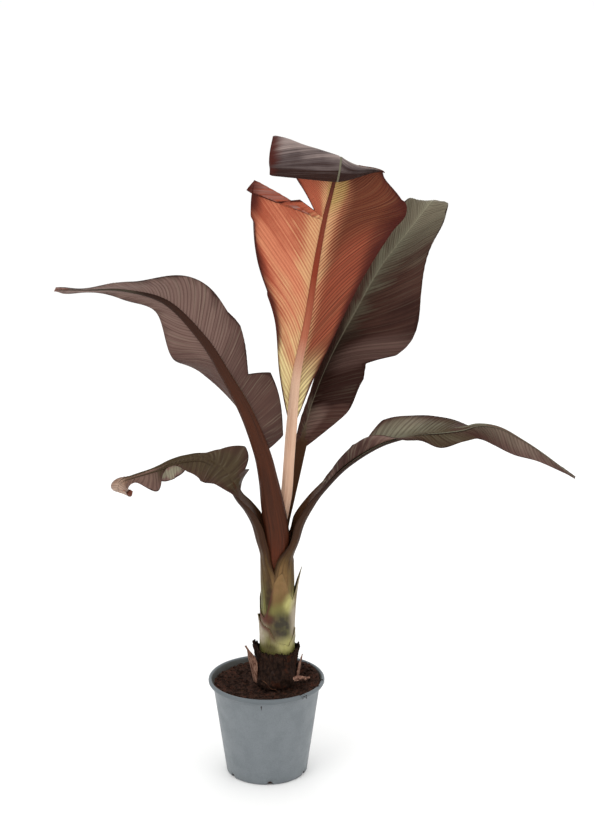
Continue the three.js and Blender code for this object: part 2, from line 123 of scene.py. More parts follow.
# Rows of a blade: the rib's place, the way the upper side faces, and the reach, fold and curl
# of the left half and of the right half, as seen from the upper side with the tip up.
BLADES = {
    "upper_left": [
        [[-6, -34, 556], [95, 0], [36, 5, 0], [6, 20, 0]],
        [[-30, -50, 625], [98, 0], [58, 5, 0], [12, 60, 0]],
        [[-61, -70, 689], [102, 2], [62, 5, 0], [46, 60, 0]],
        [[-93, -92, 749], [105, 5], [60, 10, 0], [58, 22, 0]],
        [[-145, -116, 811], [95, 22], [57, 0, 0], [30, 18, 0]],
        [[-204, -138, 835], [90, 48], [31, -8, 0], [22, 0, 0]],
        [[-260, -156, 840], [90, 57], [13, -10, 0], [13, 0, 0]],
        [[-304, -170, 843], [90, 55], [7, 0, 0], [7, 0, 0]],
    ],
    "centre": [
        [[41, 3, 581], [90, 0], [1, 0, 0], [1, 0, 0]],
        [[49, 4, 668], [90, 0], [28, 8, 0], [27, 8, 0]],
        [[66, 6, 755], [90, 0], [51, 8, 0], [54, 8, 0]],
        [[79, 5, 842], [90, 0], [80, 8, 0], [98, 8, 0]],
        [[92, 0, 915], [90, 0], [107, 6, 0], [116, 6, 0]],
        [[103, -6, 962], [90, 0], [118, 0, 0], [116, 0, 0]],
        [[111, -13, 998], [95, 0], [76, -4, 0], [105, 2, 0]],
        [[115, -32, 1017], [0, 76], [70, -8, 0], [107, 4, 0]],
        [[112, -51, 998], [268, 5], [68, -8, 0], [106, 6, 0]],
        [[109, -36, 978], [190, -76], [66, -8, 0], [102, 12, 0]],
    ],
    "back_right": [
        [[57, 32, 548], [262, 8], [9, 10, 0], [9, 10, 0]],
        [[75, 48, 614], [258, 12], [20, 80, 0], [60, 5, 0]],
        [[104, 62, 684], [250, 20], [26, 78, 0], [70, 5, 0]],
        [[143, 80, 754], [245, 25], [50, 55, 0], [112, 5, 0]],
        [[184, 100, 822], [242, 28], [60, 30, 0], [90, 5, 0]],
        [[231, 122, 879], [240, 35], [43, 15, 0], [52, 0, 0]],
        [[268, 150, 920], [232, 48], [36, 8, 0], [30, -35, 0]],
        [[276, 194, 913], [225, 66], [20, 6, 0], [20, -35, 0]],
    ],
    "lower_left": [
        [[-41, -30, 485], [285, 20], [10, 0, 0], [24, 0, 0]],
        [[-62, -42, 529], [272, 20], [30, 0, 0], [48, 0, 0]],
        [[-94, -58, 554], [275, 50], [38, -25, 0], [11, -14, 0]],
        [[-124, -64, 555], [272, 60], [22, -40, 0], [25, -100, 0]],
        [[-146, -68, 550], [272, 60], [6, -40, 0], [31, -108, 0]],
        [[-163, -71, 543], [272, 60], [12, -40, 0], [30, -108, 0]],
        [[-178, -74, 538], [272, 60], [34, -42, 0], [20, -100, 0]],
        [[-204, -79, 531], [268, 55], [11, -40, 0], [10, -60, 0]],
        [[-222, -84, 525], [245, 40], [18, -30, 0], [15, -30, 0]],
        [[-228, -86, 512], [228, 0], [19, 0, 0], [17, 0, 0]],
        [[-218, -80, 502], [215, -55], [16, 0, 0], [14, 0, 0]],
        [[-209, -73, 506], [200, -85], [6, 0, 0], [6, 0, 0]],
    ],
    "lower_right": [
        [[87, -22, 494], [190, 42], [10, 20, 0], [12, 30, 0]],
        [[125, -32, 536], [195, 48], [14, 50, 0], [22, 75, 0]],
        [[178, -44, 573], [215, 62], [33, 42, 0], [27, 75, 0]],
        [[232, -51, 590], [262, 68], [40, 8, 0], [14, -10, 0]],
        [[271, -54, 594], [272, 62], [31, 0, 0], [27, -45, 0]],
        [[304, -56, 598], [272, 60], [26, -25, 0], [21, -55, 0]],
        [[330, -58, 605], [275, 60], [22, -80, 0], [23, -50, 0]],
        [[363, -58, 600], [285, 60], [22, -100, 0], [29, -50, 0]],
        [[398, -60, 581], [295, 58], [18, -90, 0], [27, -45, 0]],
        [[434, -60, 557], [310, 55], [10, -60, 0], [15, -35, 0]],
        [[483, -60, 519], [325, 50], [3, 0, 0], [3, 0, 0]],
    ],
}

# What else a leaf needs: how far its veins sweep forward, the waves of its margins, its veins and
# pleats, the roll of its margins, its midrib's last half width and how fast it thins, its tears
# (side, start, deepest, end, depth), stretches whose margin rolls further (side, from, to, degrees),
# folds along a vein (side, from, to), pinches (side, start, share that the margin moves in) and the
# solids that its blade stands for.
HABITS = {
    "upper_left": {
        "sweep": 0.09, "ripple": 2.2, "waves": 3, "veins": 90, "pleat": 0.3, "lip": 25, "rib_end": 1.2,
        "taper": 1.5, "tears": [("left", -0.02, 0.0, 0.022, 0.8), ("left", 0.163, 0.215, 0.31, 0.5),
                                ("left", 0.33, 0.36, 0.46, 0.04)],
        "nodes": ["blade_upper_left", "blade_upper_left_tip"],
    },
    "centre": {
        "sweep": 0.12, "ripple": 1.5, "waves": 3, "veins": 100, "pleat": 0.06, "lip": -30, "rib_end": 2,
        "taper": 2.3, "tears": [("right", 0.44, 0.447, 0.605, 0.84)],
        "rolls": [("right", 0.2, 0.3, -120), ("left", 0.47, 0.6, -110)],
        "folds": [("right", 0.402, 0.443)],
        "pinches": [("left", 0.64, 0.97)],
        "nodes": ["blade_centre", "blade_centre_tip"],
    },
    "back_right": {
        "sweep": 0.16, "ripple": 2.5, "waves": 2.5, "veins": 46, "pleat": 0.55, "lip": 20, "rib_end": 1.2,
        "taper": 1.3, "tears": [("right", 0.1765, 0.23, 0.254, 0.24)],
        "nodes": ["blade_back_right"],
    },
    "lower_left": {
        "sweep": 0.04, "ripple": 1.2, "waves": 2, "veins": 44, "pleat": 0.3, "lip": 0, "rib_end": 1.2,
        "taper": 1.5, "tears": [("right", 0.035, 0.05, 0.084, 0.38), ("right", 0.086, 0.125, 0.19, 0.25)],
        "nodes": ["blade_lower_left", "blade_lower_left_tip"],
    },
    "lower_right": {
        "sweep": 0.1, "ripple": 1.5, "waves": 3, "veins": 56, "pleat": 0.3, "lip": 0, "rib_end": 1.0,
        "taper": 1.6, "tears": [("left", 0.1, 0.14, 0.165, 0.5)],
        "nodes": ["blade_lower_right", "blade_lower_right_tip"],
    },
}

# The grids of a blade and of a limb. A limb has LIMB_SIDE columns round its outside and as many
# back inside it, and LIMB_ROWS rows between two rows of its table.
BLADE_COLUMNS = 56
BLADE_ROWS = 420
BLADE_STEPS = 28
LIMB_SIDE = 44
LIMB_COLUMNS = 2 * LIMB_SIDE + 2
LIMB_ROWS = 16

# Of a limb: the share of its path over which its direction is taken, the thickness of its edge, and
# what stays the same along its rib: fullness, wraps, evenness and how far its hollow stands out.
STEP = 0.002
EDGE = 1.4
RIB = [0.8, 90, 90, 0, -0.45]

# Of a half blade: where its margin starts to roll, how deep it dips at the rib, how far a folded
# strip lies under it and how much it widens, and, by the place along the blade, the share of the
# rib's half width that its flat floor takes.
LIP_START = 0.93
RIB_DIP = 1.1
FOLD_DROP = 2.2
FOLD_WIDENS = 2.2
FLOOR_SHARES = ((0, 0.12, 0.4, 1), (0.95, 0.6, 0.25, 0.2))


def row_at(table, share):
    """The rows at these shares of the way along, on a Catmull-Rom curve through the table."""
    last = len(table) - 1
    place = np.clip(share, 0, 1) * last
    start = np.minimum(place.astype(int), last - 1)
    f = (place - start)[:, None]
    rows = np.vstack([2 * table[0] - table[1], table, 2 * table[-1] - table[-2]])
    a, b, c, d = (rows[start + k] for k in range(4))
    bend = a - 2.5 * b + 2 * c - d / 2
    twist = (d - a) / 2 + 1.5 * (b - c)
    return b + f * ((c - a) / 2 + f * (bend + f * twist))


def pointing(azimuth, elevation):
    level = math.cos(math.radians(elevation))
    turn = math.radians(azimuth)
    return [level * math.cos(turn), level * math.sin(turn), math.sin(math.radians(elevation))]


def unit(vectors):
    return vectors / np.linalg.norm(vectors, axis=1, keepdims=True)


def smooth(low, high, value):
    share = np.clip((value - low) / (high - low), 0, 1)
    return share * share * (3 - 2 * share)


class Leaf:
    """One leaf: the path of its limb from foot to tip, its sections, and its blade's halves."""

    def __init__(self, name):
        self.name = name
        sheath, blade, habit = SHEATHS[name], BLADES[name], HABITS[name]
        path = [row[:2] for row in sheath] + [row[:2] for row in blade[1:]]
        self.path = np.array([rib + pointing(*faces) for rib, faces in path], float)
        self.joint = (len(sheath) - 1) / (len(path) - 1)
        self.halves = np.array([row[2] + row[3] for row in blade], float)
        self.habit = habit
        end = sheath[-1][2]
        sections = [row[2] + [EDGE / 2] for row in sheath]
        for k in range(1, len(blade)):
            left = (1 - k / (len(blade) - 1)) ** habit["taper"]
            half = habit["rib_end"] + (end[0] - habit["rib_end"]) * left
            deep = habit["rib_end"] + (end[1] - habit["rib_end"]) * left
            sections.append([half, deep] + RIB)
        self.sections = np.array(sections, float)

    def along(self, share):
        """The share of the whole limb at a share of the blade."""
        return self.joint + (1 - self.joint) * share

    def frame(self, share):
        row = row_at(self.path, share)
        ahead = row_at(self.path, np.minimum(share + STEP, 1))[:, :3]
        behind = row_at(self.path, np.maximum(share - STEP, 0))[:, :3]
        forward = unit(ahead - behind)
        up = row[:, 3:]
        up = unit(up - forward * np.sum(up * forward, axis=1, keepdims=True))
        return row[:, :3], forward, up, np.cross(forward, up)


def left_by_tears(tears, s, right):
    """How much of the half blade is left at each vein, where a tear runs in from its margin."""
    left = np.ones_like(s)
    for side, start, deepest, end, depth in tears:
        share = np.where(s < deepest, (s - start) / (deepest - start), (end - s) / (end - deepest))
        torn = (right == (side == "right")) & (s > start) & (s < end)
        left = np.where(torn, np.minimum(left, 1 - depth * share), left)
    return left


def blade_points(leaf, s, t):
    """The blade's upper side: s along the rib to the tip, t from the left margin to the right."""
    points = swept_points(leaf, s, t)
    for side, start, amount in leaf.habit.get("pinches", []):
        held = (t >= 0) == (side == "right")
        held = (held & (s > start))[:, None]
        pivot = swept_points(leaf, np.minimum(s, start), t)
        closer = 1 - amount * np.abs(t)[:, None]
        points = np.where(held, pivot + (points - pivot) * closer, points)
    return points * MM


def swept_points(leaf, s, t):
    """The rule of the blade, in millimetres: each half leaves the rib's channel, folds and curls."""
    habit = leaf.habit
    right = t >= 0
    sign = np.where(right, 1.0, -1.0)
    left = left_by_tears(habit["tears"], s, right)
    v = np.abs(t) * left
    under = np.zeros_like(s)
    for side, start, end in habit.get("folds", []):
        line = end - (end - start) * v
        inside = (right == (side == "right")) & (s > line) & (s < end)
        under = np.where(inside, s - line, under)
    s = s - 2 * under
    swept = np.clip(s + habit["sweep"] * v * 4 * s * (1 - s), 0, 1)
    place = leaf.along(swept)
    rib, _, up, across = leaf.frame(place)
    sizes = row_at(leaf.halves, swept)
    reach, fold, curl = np.where(right, sizes[:, 3:].T, sizes[:, :3].T)
    reach = reach * (1 + FOLD_WIDENS * under * v)
    floor = row_at(leaf.sections, place)[:, 0] * np.interp(swept, *FLOOR_SHARES)
    shares = (np.arange(BLADE_STEPS) + 0.5) / BLADE_STEPS
    at = v[:, None] * shares
    bent = smooth(0.5 * floor[:, None], 1.5 * floor[:, None], reach[:, None] * at)
    rolled = smooth(LIP_START, 1, np.abs(t)[:, None] * shares)
    turn = np.radians(fold)[:, None] * bent
    turn = turn + np.radians(curl)[:, None] * at
    turn = turn + np.radians(lips(habit, s, right))[:, None] * rolled
    step = reach * v / BLADE_STEPS
    out = step * np.cos(turn).sum(axis=1)
    rise = step * np.sin(turn).sum(axis=1)
    last = turn[:, -1]
    ends = smooth(0, 0.04, s) * (1 - smooth(0.93, 1, s))
    lift = habit["ripple"] * v * v * np.sin(2 * math.pi * habit["waves"] * s + np.where(right, 0, 1.3))
    lift = (lift + pleats(leaf, s, t, v)) * ends - RIB_DIP * np.exp(-((out / (0.35 * floor + 0.8)) ** 2))
    lift = lift - FOLD_DROP * smooth(0, 0.008, under)
    across_by = sign * (out - np.sin(last) * lift)
    up_by = rise + np.cos(last) * lift
    return rib + across * across_by[:, None] + up * up_by[:, None]


def lips(habit, s, right):
    """How far the margin of each half rolls over, in degrees."""
    roll = np.full_like(s, habit["lip"])
    for side, start, end, degrees in habit.get("rolls", []):
        inside = smooth(start - 0.015, start, s) * (1 - smooth(end, end + 0.015, s))
        roll = roll + np.where(right == (side == "right"), degrees * inside, 0)
    return roll


def pleats(leaf, s, t, v):
    """Small ridges along the veins, strongest halfway out, and a slow unevenness of the blade."""
    habit = leaf.habit
    seed = 10 * len(leaf.name)
    slow = np.array([noise.noise((a * 9, b * 1.5, seed)) for a, b in zip(s, t)])
    uneven = np.array([noise.noise((a * 5 + 20, b * 2.5, seed)) for a, b in zip(s, t)])
    ridges = np.sin(2 * math.pi * habit["veins"] * s)
    fades = smooth(0.03, 0.2, v) * (1 - 0.6 * smooth(0.7, 1, v))
    return habit["pleat"] * (0.7 + 0.9 * slow) * ridges * fades + 2.4 * uneven * smooth(0.1, 0.8, v)


def limb_points(leaf, column, share, relief):
    """The limb's skin: columns run round the outside from edge to edge, then back inside."""
    rib, _, up, across = leaf.frame(share)
    half, deep, full, wrap_left, wrap_right, hug, proud = row_at(leaf.sections, share).T
    inner = (column > LIMB_SIDE) & (column < LIMB_COLUMNS)
    k = np.where(inner, LIMB_COLUMNS - 1 - column, column % LIMB_COLUMNS) / LIMB_SIDE
    turn = np.radians(-wrap_left + k * (wrap_left + wrap_right))
    edge = (1 - hug) * np.where(inner, proud, -EDGE / 2)
    ridge = relief * (np.sin(40 * k + 2 * np.sin(9 * share)) + 0.7 * np.sin(23 * k - 5 * share))
    ridge = np.where(inner, 0, ridge * np.minimum(1, half / 12))
    wide = (half + ridge) * np.sin(turn) * np.where(inner, 1 - full * hug, 1)
    high = -(deep + ridge) * np.cos(turn) * np.where(inner, 1 - full, 1) + edge
    return (rib + across * wide[:, None] + up * high[:, None]) * MM


# What is left of older leaves round the stem and the crown. Each wraps its axis from a foot up to
# a ragged edge, whose points give azimuth, height and how far it stands off.
WRAPS = {
    "pointed_sheath": {
        "axis": (18, 0), "foot": 204, "radius": 28.1, "ragged": 0.5, "power": 3, "wall": 0.9,
        "edge": [(-180, 282, 0.3), (-140, 272, 0.2), (-128, 280, 0.2), (-112, 314, 0.3), (-101, 334, 0.3),
                 (-88, 346, 0.5), (-74, 351, 0.9), (-62, 336, 0.5), (-46, 314, 0.2), (-32, 301, 0.2),
                 (-18, 312, 2), (-8, 330, 6), (0, 353, 12), (9, 334, 6), (24, 310, 1.5), (60, 292, 0.5),
                 (110, 300, 0.8), (150, 316, 2)],
        "replaces": ["old_sheath_right"], "slot": "dry_sheath",
    },
    "base_sheath": {
        "axis": (17.5, -0.5), "foot": 204, "radius": 28.7, "ragged": 1.2, "power": 6, "wall": 0.9,
        "edge": [(-180, 272, 2.8), (-168, 270, 1.8), (-155, 263, 1.2), (-135, 259, 0.9), (-118, 256, 0.4),
                 (-90, 232, 0), (-50, 226, 0), (-30, 238, 1), (-16, 254, 2.6), (-6, 236, 1),
                 (40, 228, 0), (100, 246, 0.6), (150, 266, 1.2)],
        "replaces": ["old_sheath_left", "pseudostem"], "slot": "stem_skin",
    },
    "crown_collar": {
        "axis": (16.5, -0.5), "foot": 186, "radius": 33.5, "ragged": 3.2, "power": 1.4, "wall": 2.4,
        "edge": [(-180, 223, 4.5), (-160, 222, 4), (-142, 217, 3), (-120, 213, 2), (-95, 216, 1.5),
                 (-70, 212, 1), (-48, 214, 1.5), (-28, 215, 2), (-10, 217, 3.5), (15, 214, 4.5),
                 (50, 210, 2), (95, 217, 3), (140, 212, 4), (160, 219, 4)],
        "replaces": [], "slot": "crown_skin", "lump": 1.3,
    },
}

# Broken bits at the crown, as rows of (x, y, z, half width): a pale flake that leans on the peat at
# the right, and a rootlet that runs down the front.
FLAKE = [[39, -29, 171, 4], [47, -24, 169, 5.4], [55, -16, 166, 4.6], [63, -7, 162, 3.2], [71, 2, 159, 1]]
ROOTLET = [[-8, -31, 169, 0.5], [-1, -37, 166, 0.5], [7, -40, 159, 0.4], [14, -42, 157, 0.4],
           [20, -44, 151, 0.3]]

# Flushes of colour on the stem, each with its centre, its radii and its share. The narrow dark one at x 4, z
# 312 is painted shade: a shadow line where the two old sheaths meet.
FLUSHES = [
    ("tan", (22, -27, 325), (30, 24, 66), 0.85),
    ("olive", (26, -27, 303), (22, 24, 24), 0.6),
    # Painted shadow line where the two old sheaths meet.
    ("dark", (4, -27, 312), (9, 24, 66), 0.8),
    ("green", (26, -27, 286), (34, 24, 22), 0.8),
    ("bright", (38, -20, 296), (18, 20, 24), 1.0),
    ("pale", (43, -10, 268), (12, 24, 50), 0.8),
    ("pale", (-6, -10, 250), (20, 24, 36), 0.9),
    ("pale", (55, -4, 328), (12, 30, 46), 1.0),
    ("scar", (2, -24, 271), (22, 24, 15), 0.9),
    ("scar", (14, -27, 246), (18, 24, 22), 0.45),
    ("bright", (30, -27, 229), (24, 24, 20), 0.7),
    ("dark", (6, -24, 221), (22, 24, 14), 0.6),
    ("smudge", (25, -27, 260), (26, 24, 36), 0.9),
]

# Dry scales: azimuth, half width in degrees, height and radius at each row from foot to tip, then
# how crumpled and how cupped each one is, and how far one side of it stands off more.
SCALES = {
    "crown_scale_left": {
        "rows": [[208, 8, 160, 38.6], [208, 12, 176, 40.5], [209, 14, 194, 43.5], [210, 11, 206, 46],
                 [209, 5, 215, 49], [208, 2, 223, 52.5], [210, 0.8, 228, 55]],
        "crumple": 1.8, "cup": -2.5, "splay": 7,
    },
    "crown_scale_right": {
        "rows": [[-13, 17, 168, 38.8], [-13, 17, 178, 39.8], [-12, 14, 188, 41], [-10, 8, 197, 42],
                 [-8, 2, 204, 43]],
        "crumple": 1.3, "cup": -1.2, "splay": 0,
    },
}


def settings():
    return bpy.context.scene.banana_plant


def tint(code):
    """A colour's shader values, from its usual six digits."""
    shares = [int(code[k:k + 2], 16) / 255 for k in (0, 2, 4)]
    return tuple(((c + 0.055) / 1.055) ** 2.4 if c > 0.04 else c / 12.92 for c in shares)


def opaque(shades):
    """A colour with its alpha, which is full where none is given."""
    return (*shades, 1.0)[:4]


class Finish:
    """A procedural material in the making, with short calls for the nodes that feed its shader."""

    def __init__(self, name, **shader):
        self.material = bpy.data.materials.new(name)
        self.material.use_nodes = True
        self.tree = self.material.node_tree
        self.shader = self.tree.nodes["Principled BSDF"]
        for key, value in shader.items():
            self.shader.inputs[key.replace("_", " ")].default_value = value
        places = self.tree.nodes.new("ShaderNodeTexCoord")
        self.object = places.outputs["Object"]
        self.map = places.outputs["UV"]

    def node(self, kind, values, output=0, **choices):
        made = self.tree.nodes.new(kind)
        for key, choice in choices.items():
            setattr(made, key, choice)
        for key, value in values.items():
            self.feed(made.inputs[key], value)
        return made.outputs[output]

    def feed(self, socket, value):
        if isinstance(value, bpy.types.NodeSocket):
            self.tree.links.new(value, socket)
        elif socket.type == "RGBA":
            socket.default_value = opaque(value)
        else:
            socket.default_value = value

    def math(self, operation, a, b=0.0, c=0.0, clamp=False):
        return self.node("ShaderNodeMath", {0: a, 1: b, 2: c}, operation=operation, use_clamp=clamp)

    def parts(self, vector):
        made = self.tree.nodes.new("ShaderNodeSeparateXYZ")
        self.feed(made.inputs[0], vector)
        return list(made.outputs)

    def vector(self, x, y, z=0.0):
        return self.node("ShaderNodeCombineXYZ", {0: x, 1: y, 2: z})

    def times(self, a, b):
        return self.math("MULTIPLY", a, b)

    def plus(self, a, b, clamp=False):
        return self.math("ADD", a, b, clamp=clamp)

    def minus(self, a, b):
        return self.math("SUBTRACT", a, b)

    def stretched(self, parts, factors):
        """A vector of these parts, each multiplied by its factor."""
        return self.vector(*map(self.times, parts, factors))

    def noise(self, vector, scale, detail=3.0, roughness=0.5):
        values = {"Vector": vector, "Scale": scale, "Detail": detail, "Roughness": roughness}
        return self.node("ShaderNodeTexNoise", values)

    def spread(self, value, low, high, to_low=0.0, to_high=1.0, kind="SMOOTHSTEP"):
        values = {"Value": value, "From Min": low, "From Max": high, "To Min": to_low, "To Max": to_high}
        return self.node("ShaderNodeMapRange", values, interpolation_type=kind)

    def mix(self, share, a, b):
        return self.node("ShaderNodeMix", {0: share, 6: a, 7: b}, 2, data_type="RGBA")

    def ramp(self, value, stops):
        """The colour and the alpha of a ramp whose stops are (place, colour)."""
        made = self.tree.nodes.new("ShaderNodeValToRGB")
        self.feed(made.inputs[0], value)
        elements = made.color_ramp.elements
        while len(elements) < len(stops):
            elements.new(0.5)
        for element, (place, _) in zip(elements, stops):
            element.position = place
        for element, (_, shades) in zip(elements, stops):
            element.color = opaque(shades)
        return made.outputs[0], made.outputs[1]

    def spot(self, vector, centre, radii, soft=0.6):
        """One inside an ellipsoid round a place, fading to nothing at its edge."""
        moved = self.node("ShaderNodeVectorMath", {0: vector, 1: centre}, operation="SUBTRACT")
        scaled = self.node("ShaderNodeVectorMath", {0: moved, 1: radii}, operation="DIVIDE")
        size = self.node("ShaderNodeVectorMath", {0: scaled}, "Value", operation="LENGTH")
        return self.spread(size, 1.0, 1.0 - soft)

    def paint(self, flat, roughness, height, distance, strength=1.0):
        """The material, with its colour, its roughness where it varies, and its bumps."""
        self.feed(self.shader.inputs["Base Color"], flat)
        if roughness is not None:
            self.feed(self.shader.inputs["Roughness"], roughness)
        bump = {"Height": height, "Distance": distance, "Strength": strength}
        self.feed(self.shader.inputs["Normal"], self.node("ShaderNodeBump", bump))
        return self.material


def add_piece(name, bm, materials, replaces=()):
    """A finished mesh as a piece of the plant, in place and riding on its one body."""
    mesh = bpy.data.meshes.new(name)
    bm.to_mesh(mesh)
    bm.free()
    mesh.shade_smooth()
    for material in materials:
        mesh.materials.append(material)
    piece = bpy.data.objects.new(name, mesh)
    bpy.context.scene.collection.objects.link(piece)
    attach(piece, "root")
    if replaces:
        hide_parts(*replaces)
    return piece


def shaped_grid(columns, rows, rule, closed=False):
    """A grid whose points a rule places from their shares across and along."""
    bm = bmesh.new()
    bm.loops.layers.uv.new("UVMap")
    bmesh.ops.create_grid(bm, x_segments=columns, y_segments=rows, size=0.5, calc_uvs=True)
    flat = np.array([vert.co[:2] for vert in bm.verts]) + 0.5
    for vert, point in zip(bm.verts, rule(flat[:, 0], flat[:, 1])):
        vert.co = point
    if closed:
        bmesh.ops.remove_doubles(bm, verts=bm.verts, dist=WELD)
        bmesh.ops.holes_fill(bm, edges=[edge for edge in bm.edges if edge.is_boundary], sides=0)
        bmesh.ops.recalc_face_normals(bm, faces=bm.faces)
    return bm


def thicken(piece, wall):
    """Give a sheet its wall, on the side away from its normals, finished with its second material."""
    solid = piece.modifiers.new("Wall", "SOLIDIFY")
    solid.thickness = wall
    solid.offset = -1
    solid.material_offset = 1
    solid.material_offset_rim = 1


def lathe(profile, steps):
    """A round body from its profile of (radius, height), from the axis out and back to the axis."""
    bm = bmesh.new()
    verts = [bm.verts.new((radius, 0, height)) for radius, height in profile]
    edges = [bm.edges.new(pair) for pair in zip(verts, verts[1:])]
    bmesh.ops.spin(
        bm, geom=verts + edges, cent=(0, 0, 0), axis=(0, 0, 1), angle=2 * math.pi, steps=steps, use_merge=True
    )
    bmesh.ops.remove_doubles(bm, verts=bm.verts, dist=WELD)
    bmesh.ops.recalc_face_normals(bm, faces=bm.faces)
    return bm


def lumps(point, *octaves):
    """A sum of smooth noises, each given by its size in metres and its height."""
    return sum(height * noise.noise(Vector(point) / size) for size, height in octaves)


def round_axis(radius, turn, height):
    """The place at a radius, an angle and a height round an upright axis."""
    return (radius * math.cos(turn), radius * math.sin(turn), height)


def colour(name, description, code):
    return bpy.props.FloatVectorProperty(
        name=name, description=description, default=tint(code), subtype="COLOR")


def length(name, description, default):
    return bpy.props.FloatProperty(name=name, description=description, default=default, unit="LENGTH")


def power(name, description, default):
    return bpy.props.FloatProperty(name=name, description=description, default=default, unit="POWER")


def angle(name, description, degrees):
    return bpy.props.FloatProperty(
        name=name, description=description, default=math.radians(degrees), subtype="ANGLE")


class PotSettings(bpy.types.PropertyGroup):
    """The nursery pot"""

    lip: length("Lip height", "Height of the band round the rim", 0.008)
    lip_reach: length("Lip reach", "How far the band stands out", 0.008)
    wall: length("Wall", "Thickness of the wall", 0.002)
    foot: length("Foot radius", "Radius of the underside", 0.0665)
    drain_wide: length("Drain width", "Width of each drain notch", 0.010)
    drain_high: length("Drain height", "Height of each drain notch", 0.007)
    drains: bpy.props.IntProperty(name="Drains", description="Number of drain notches", default=6)
    plastic: colour("Plastic", "Colour of the plastic", "70767a")
    # The fleck colour is also used to paint shade on the lip.
    fleck_and_lip_shade: colour("Fleck", "Colour of its flecks", "5a6165")
    # The inside colour stands for soil stain and painted shade together.
    inside: colour("Inside", "Colour of the soiled inside", "3f3d36")


class SoilSettings(bpy.types.PropertyGroup):
    """The peat, its crumbs and the crown that stands in it"""

    crumbs: bpy.props.IntProperty(name="Crumbs", description="Number of loose crumbs", default=950)
    slivers: bpy.props.IntProperty(name="Slivers", description="Number of loose fibres", default=150)
    lump: length("Lumps", "Height of the peat's lumps", 0.0024)
    heave: length("Heave", "How much higher the peat is at the wall", 0.005)
    bank: length("Bank", "How much higher still it is at the right, behind the plant", 0.010)
    knob: length("Knobs", "Height of the crown's knobs", 0.0018)
    peat: colour("Peat", "Colour of the peat", "3a2a23")
    peat_dark: colour("Dark peat", "Colour of the peat's hollows", "1c1310")
    peat_red: colour("Red peat", "Colour of its reddish bits", "4a2c22")
    straw: colour("Straw", "Colour of its pale fibres", "6f4f3b")
    crown: colour("Crown", "Colour of the crown's skin", "35251d")
    crown_red: colour("Crown red", "Colour of its reddish patches", "4a2618")
    crown_grey: colour("Crown grey", "Colour of its grey patches", "453935")
    scale: colour("Scale", "Colour of the dry scales", "8f6e5d")
    scale_dark: colour("Scale edge", "Colour of their dark edges", "4a2c21")
    flake: colour("Flake", "Colour of the pale flake and the rootlet", "b98f7c")


class StemSettings(bpy.types.PropertyGroup):
    """The leaf stalks and the stem that their sheaths make"""

    relief: length("Relief", "Height of the ridges along the sheaths", 0.00022)
    cream: colour("Cream", "Colour of the stem's foot", "7f7858")
    green: colour("Green", "Colour of the stem's green flushes", "6f6c3a")
    olive: colour("Olive", "Colour of the stalks' foot", "5e4a27")
    tan: colour("Tan", "Colour of the old sheath's point", "80623f")
    brown: colour("Brown", "Colour of the outer stalks", "3f2614")
    # Dark is also laid on the stem as a painted shadow line, in the flushes.
    dark: colour("Dark", "Colour of the stalks' tops and edges", "2b1a13")
    pale: colour("Pale", "Colour of the stem's papery parts", "a29684")
    red: colour("Red", "Colour of the inner stalk's foot", "532716")
    red_brown: colour("Red brown", "Colour of the inner stalk", "4a2718")
    orange: colour("Orange brown", "Colour of the back leaf's stalk", "8a5830")
    pink: colour("Pink cream", "Colour of the upright leaf's stalk", "dfbba0")
    rose: colour("Rose", "Colour of its rib's foot", "b0694f")
    brick: colour("Brick", "Colour of the upright leaf's rib", "823420")
    scar: colour("Scar", "Colour of the purple margins and scars", "50291f")
    bright: colour("Bright green", "Colour of the stem's brightest flush", "aaa467")
    smudge: colour("Smudge", "Colour of the stem's dark patch", "302b26")


class LeafSettings(bpy.types.PropertyGroup):
    """The blades of the leaves"""

    wall: length("Blade thickness", "Thickness of a blade", 0.0008)
    cream: colour("Cream", "Young blade at its base", "eedd9f")
    beige: colour("Beige", "Young blade along its rib", "d2a274")
    salmon: colour("Salmon", "Young blade's underside", "cb7c5c")
    red: colour("Red", "Young blade near its margin", "9c4a33")
    # Painted shade: umber darkens the half of the young blade that is turned away from the light.
    painted_shade_umber: colour("Umber", "Young blade's darker half", "60301c")
    deep_red: colour("Deep red", "Young blade's margin", "45170f")
    lime: colour("Lime", "Young blade's green flush", "a08a4a")
    plum: colour("Plum", "Upper side of the young blade", "574b4a")
    # Light plum is also painted light on the top of the centre leaf's roll.
    plum_light: colour("Light plum", "Its lighter parts", "9c8b85")
    mauve: colour("Mauve", "Underside of the older blades", "735a52")
    mauve_dark: colour("Dark mauve", "Stripes of the underside", "48302a")
    bronze: colour("Bronze", "Upper side of the older blades", "462d25")
    # Dark bronze is the margins' own colour, and also painted shade along the foot of the centre leaf's roll
    # and on the back leaf behind the crease at its notch.
    bronze_dark: colour("Dark bronze", "Folds and margins", "2a1510")
    moss: colour("Moss", "Upper side near the rib", "6e6a58")
    olive: colour("Olive", "Low blades' upper side", "443725")
    sage: colour("Sage", "Their pale flushes", "8f8873")
    pink: colour("Pink", "Low blades' underside", "7c6055")


class StageSettings(bpy.types.PropertyGroup):
    """The floor, the lights and the camera"""

    floor: colour("Floor", "Colour of the floor", "fcfcfb")
    sky: bpy.props.FloatProperty(name="Sky", description="Strength of the light all round", default=1.05)
    key: power("Key", "Power of the main light", 24)
    fill: power("Fill", "Power of each of the other lights", 9)
    lens: bpy.props.FloatProperty(
        name="Lens", description="Focal length in millimetres", default=80.33, subtype="DISTANCE_CAMERA")
    camera_away: length("Camera distance", "How far in front of the pot the camera stands", 2.8)
    camera_high: length("Camera height", "Its height above the floor", 1.37)
    pitch: angle("Pitch", "How far it looks down", 15.2)
    yaw: angle("Yaw", "How far it looks to the right", 1.02)


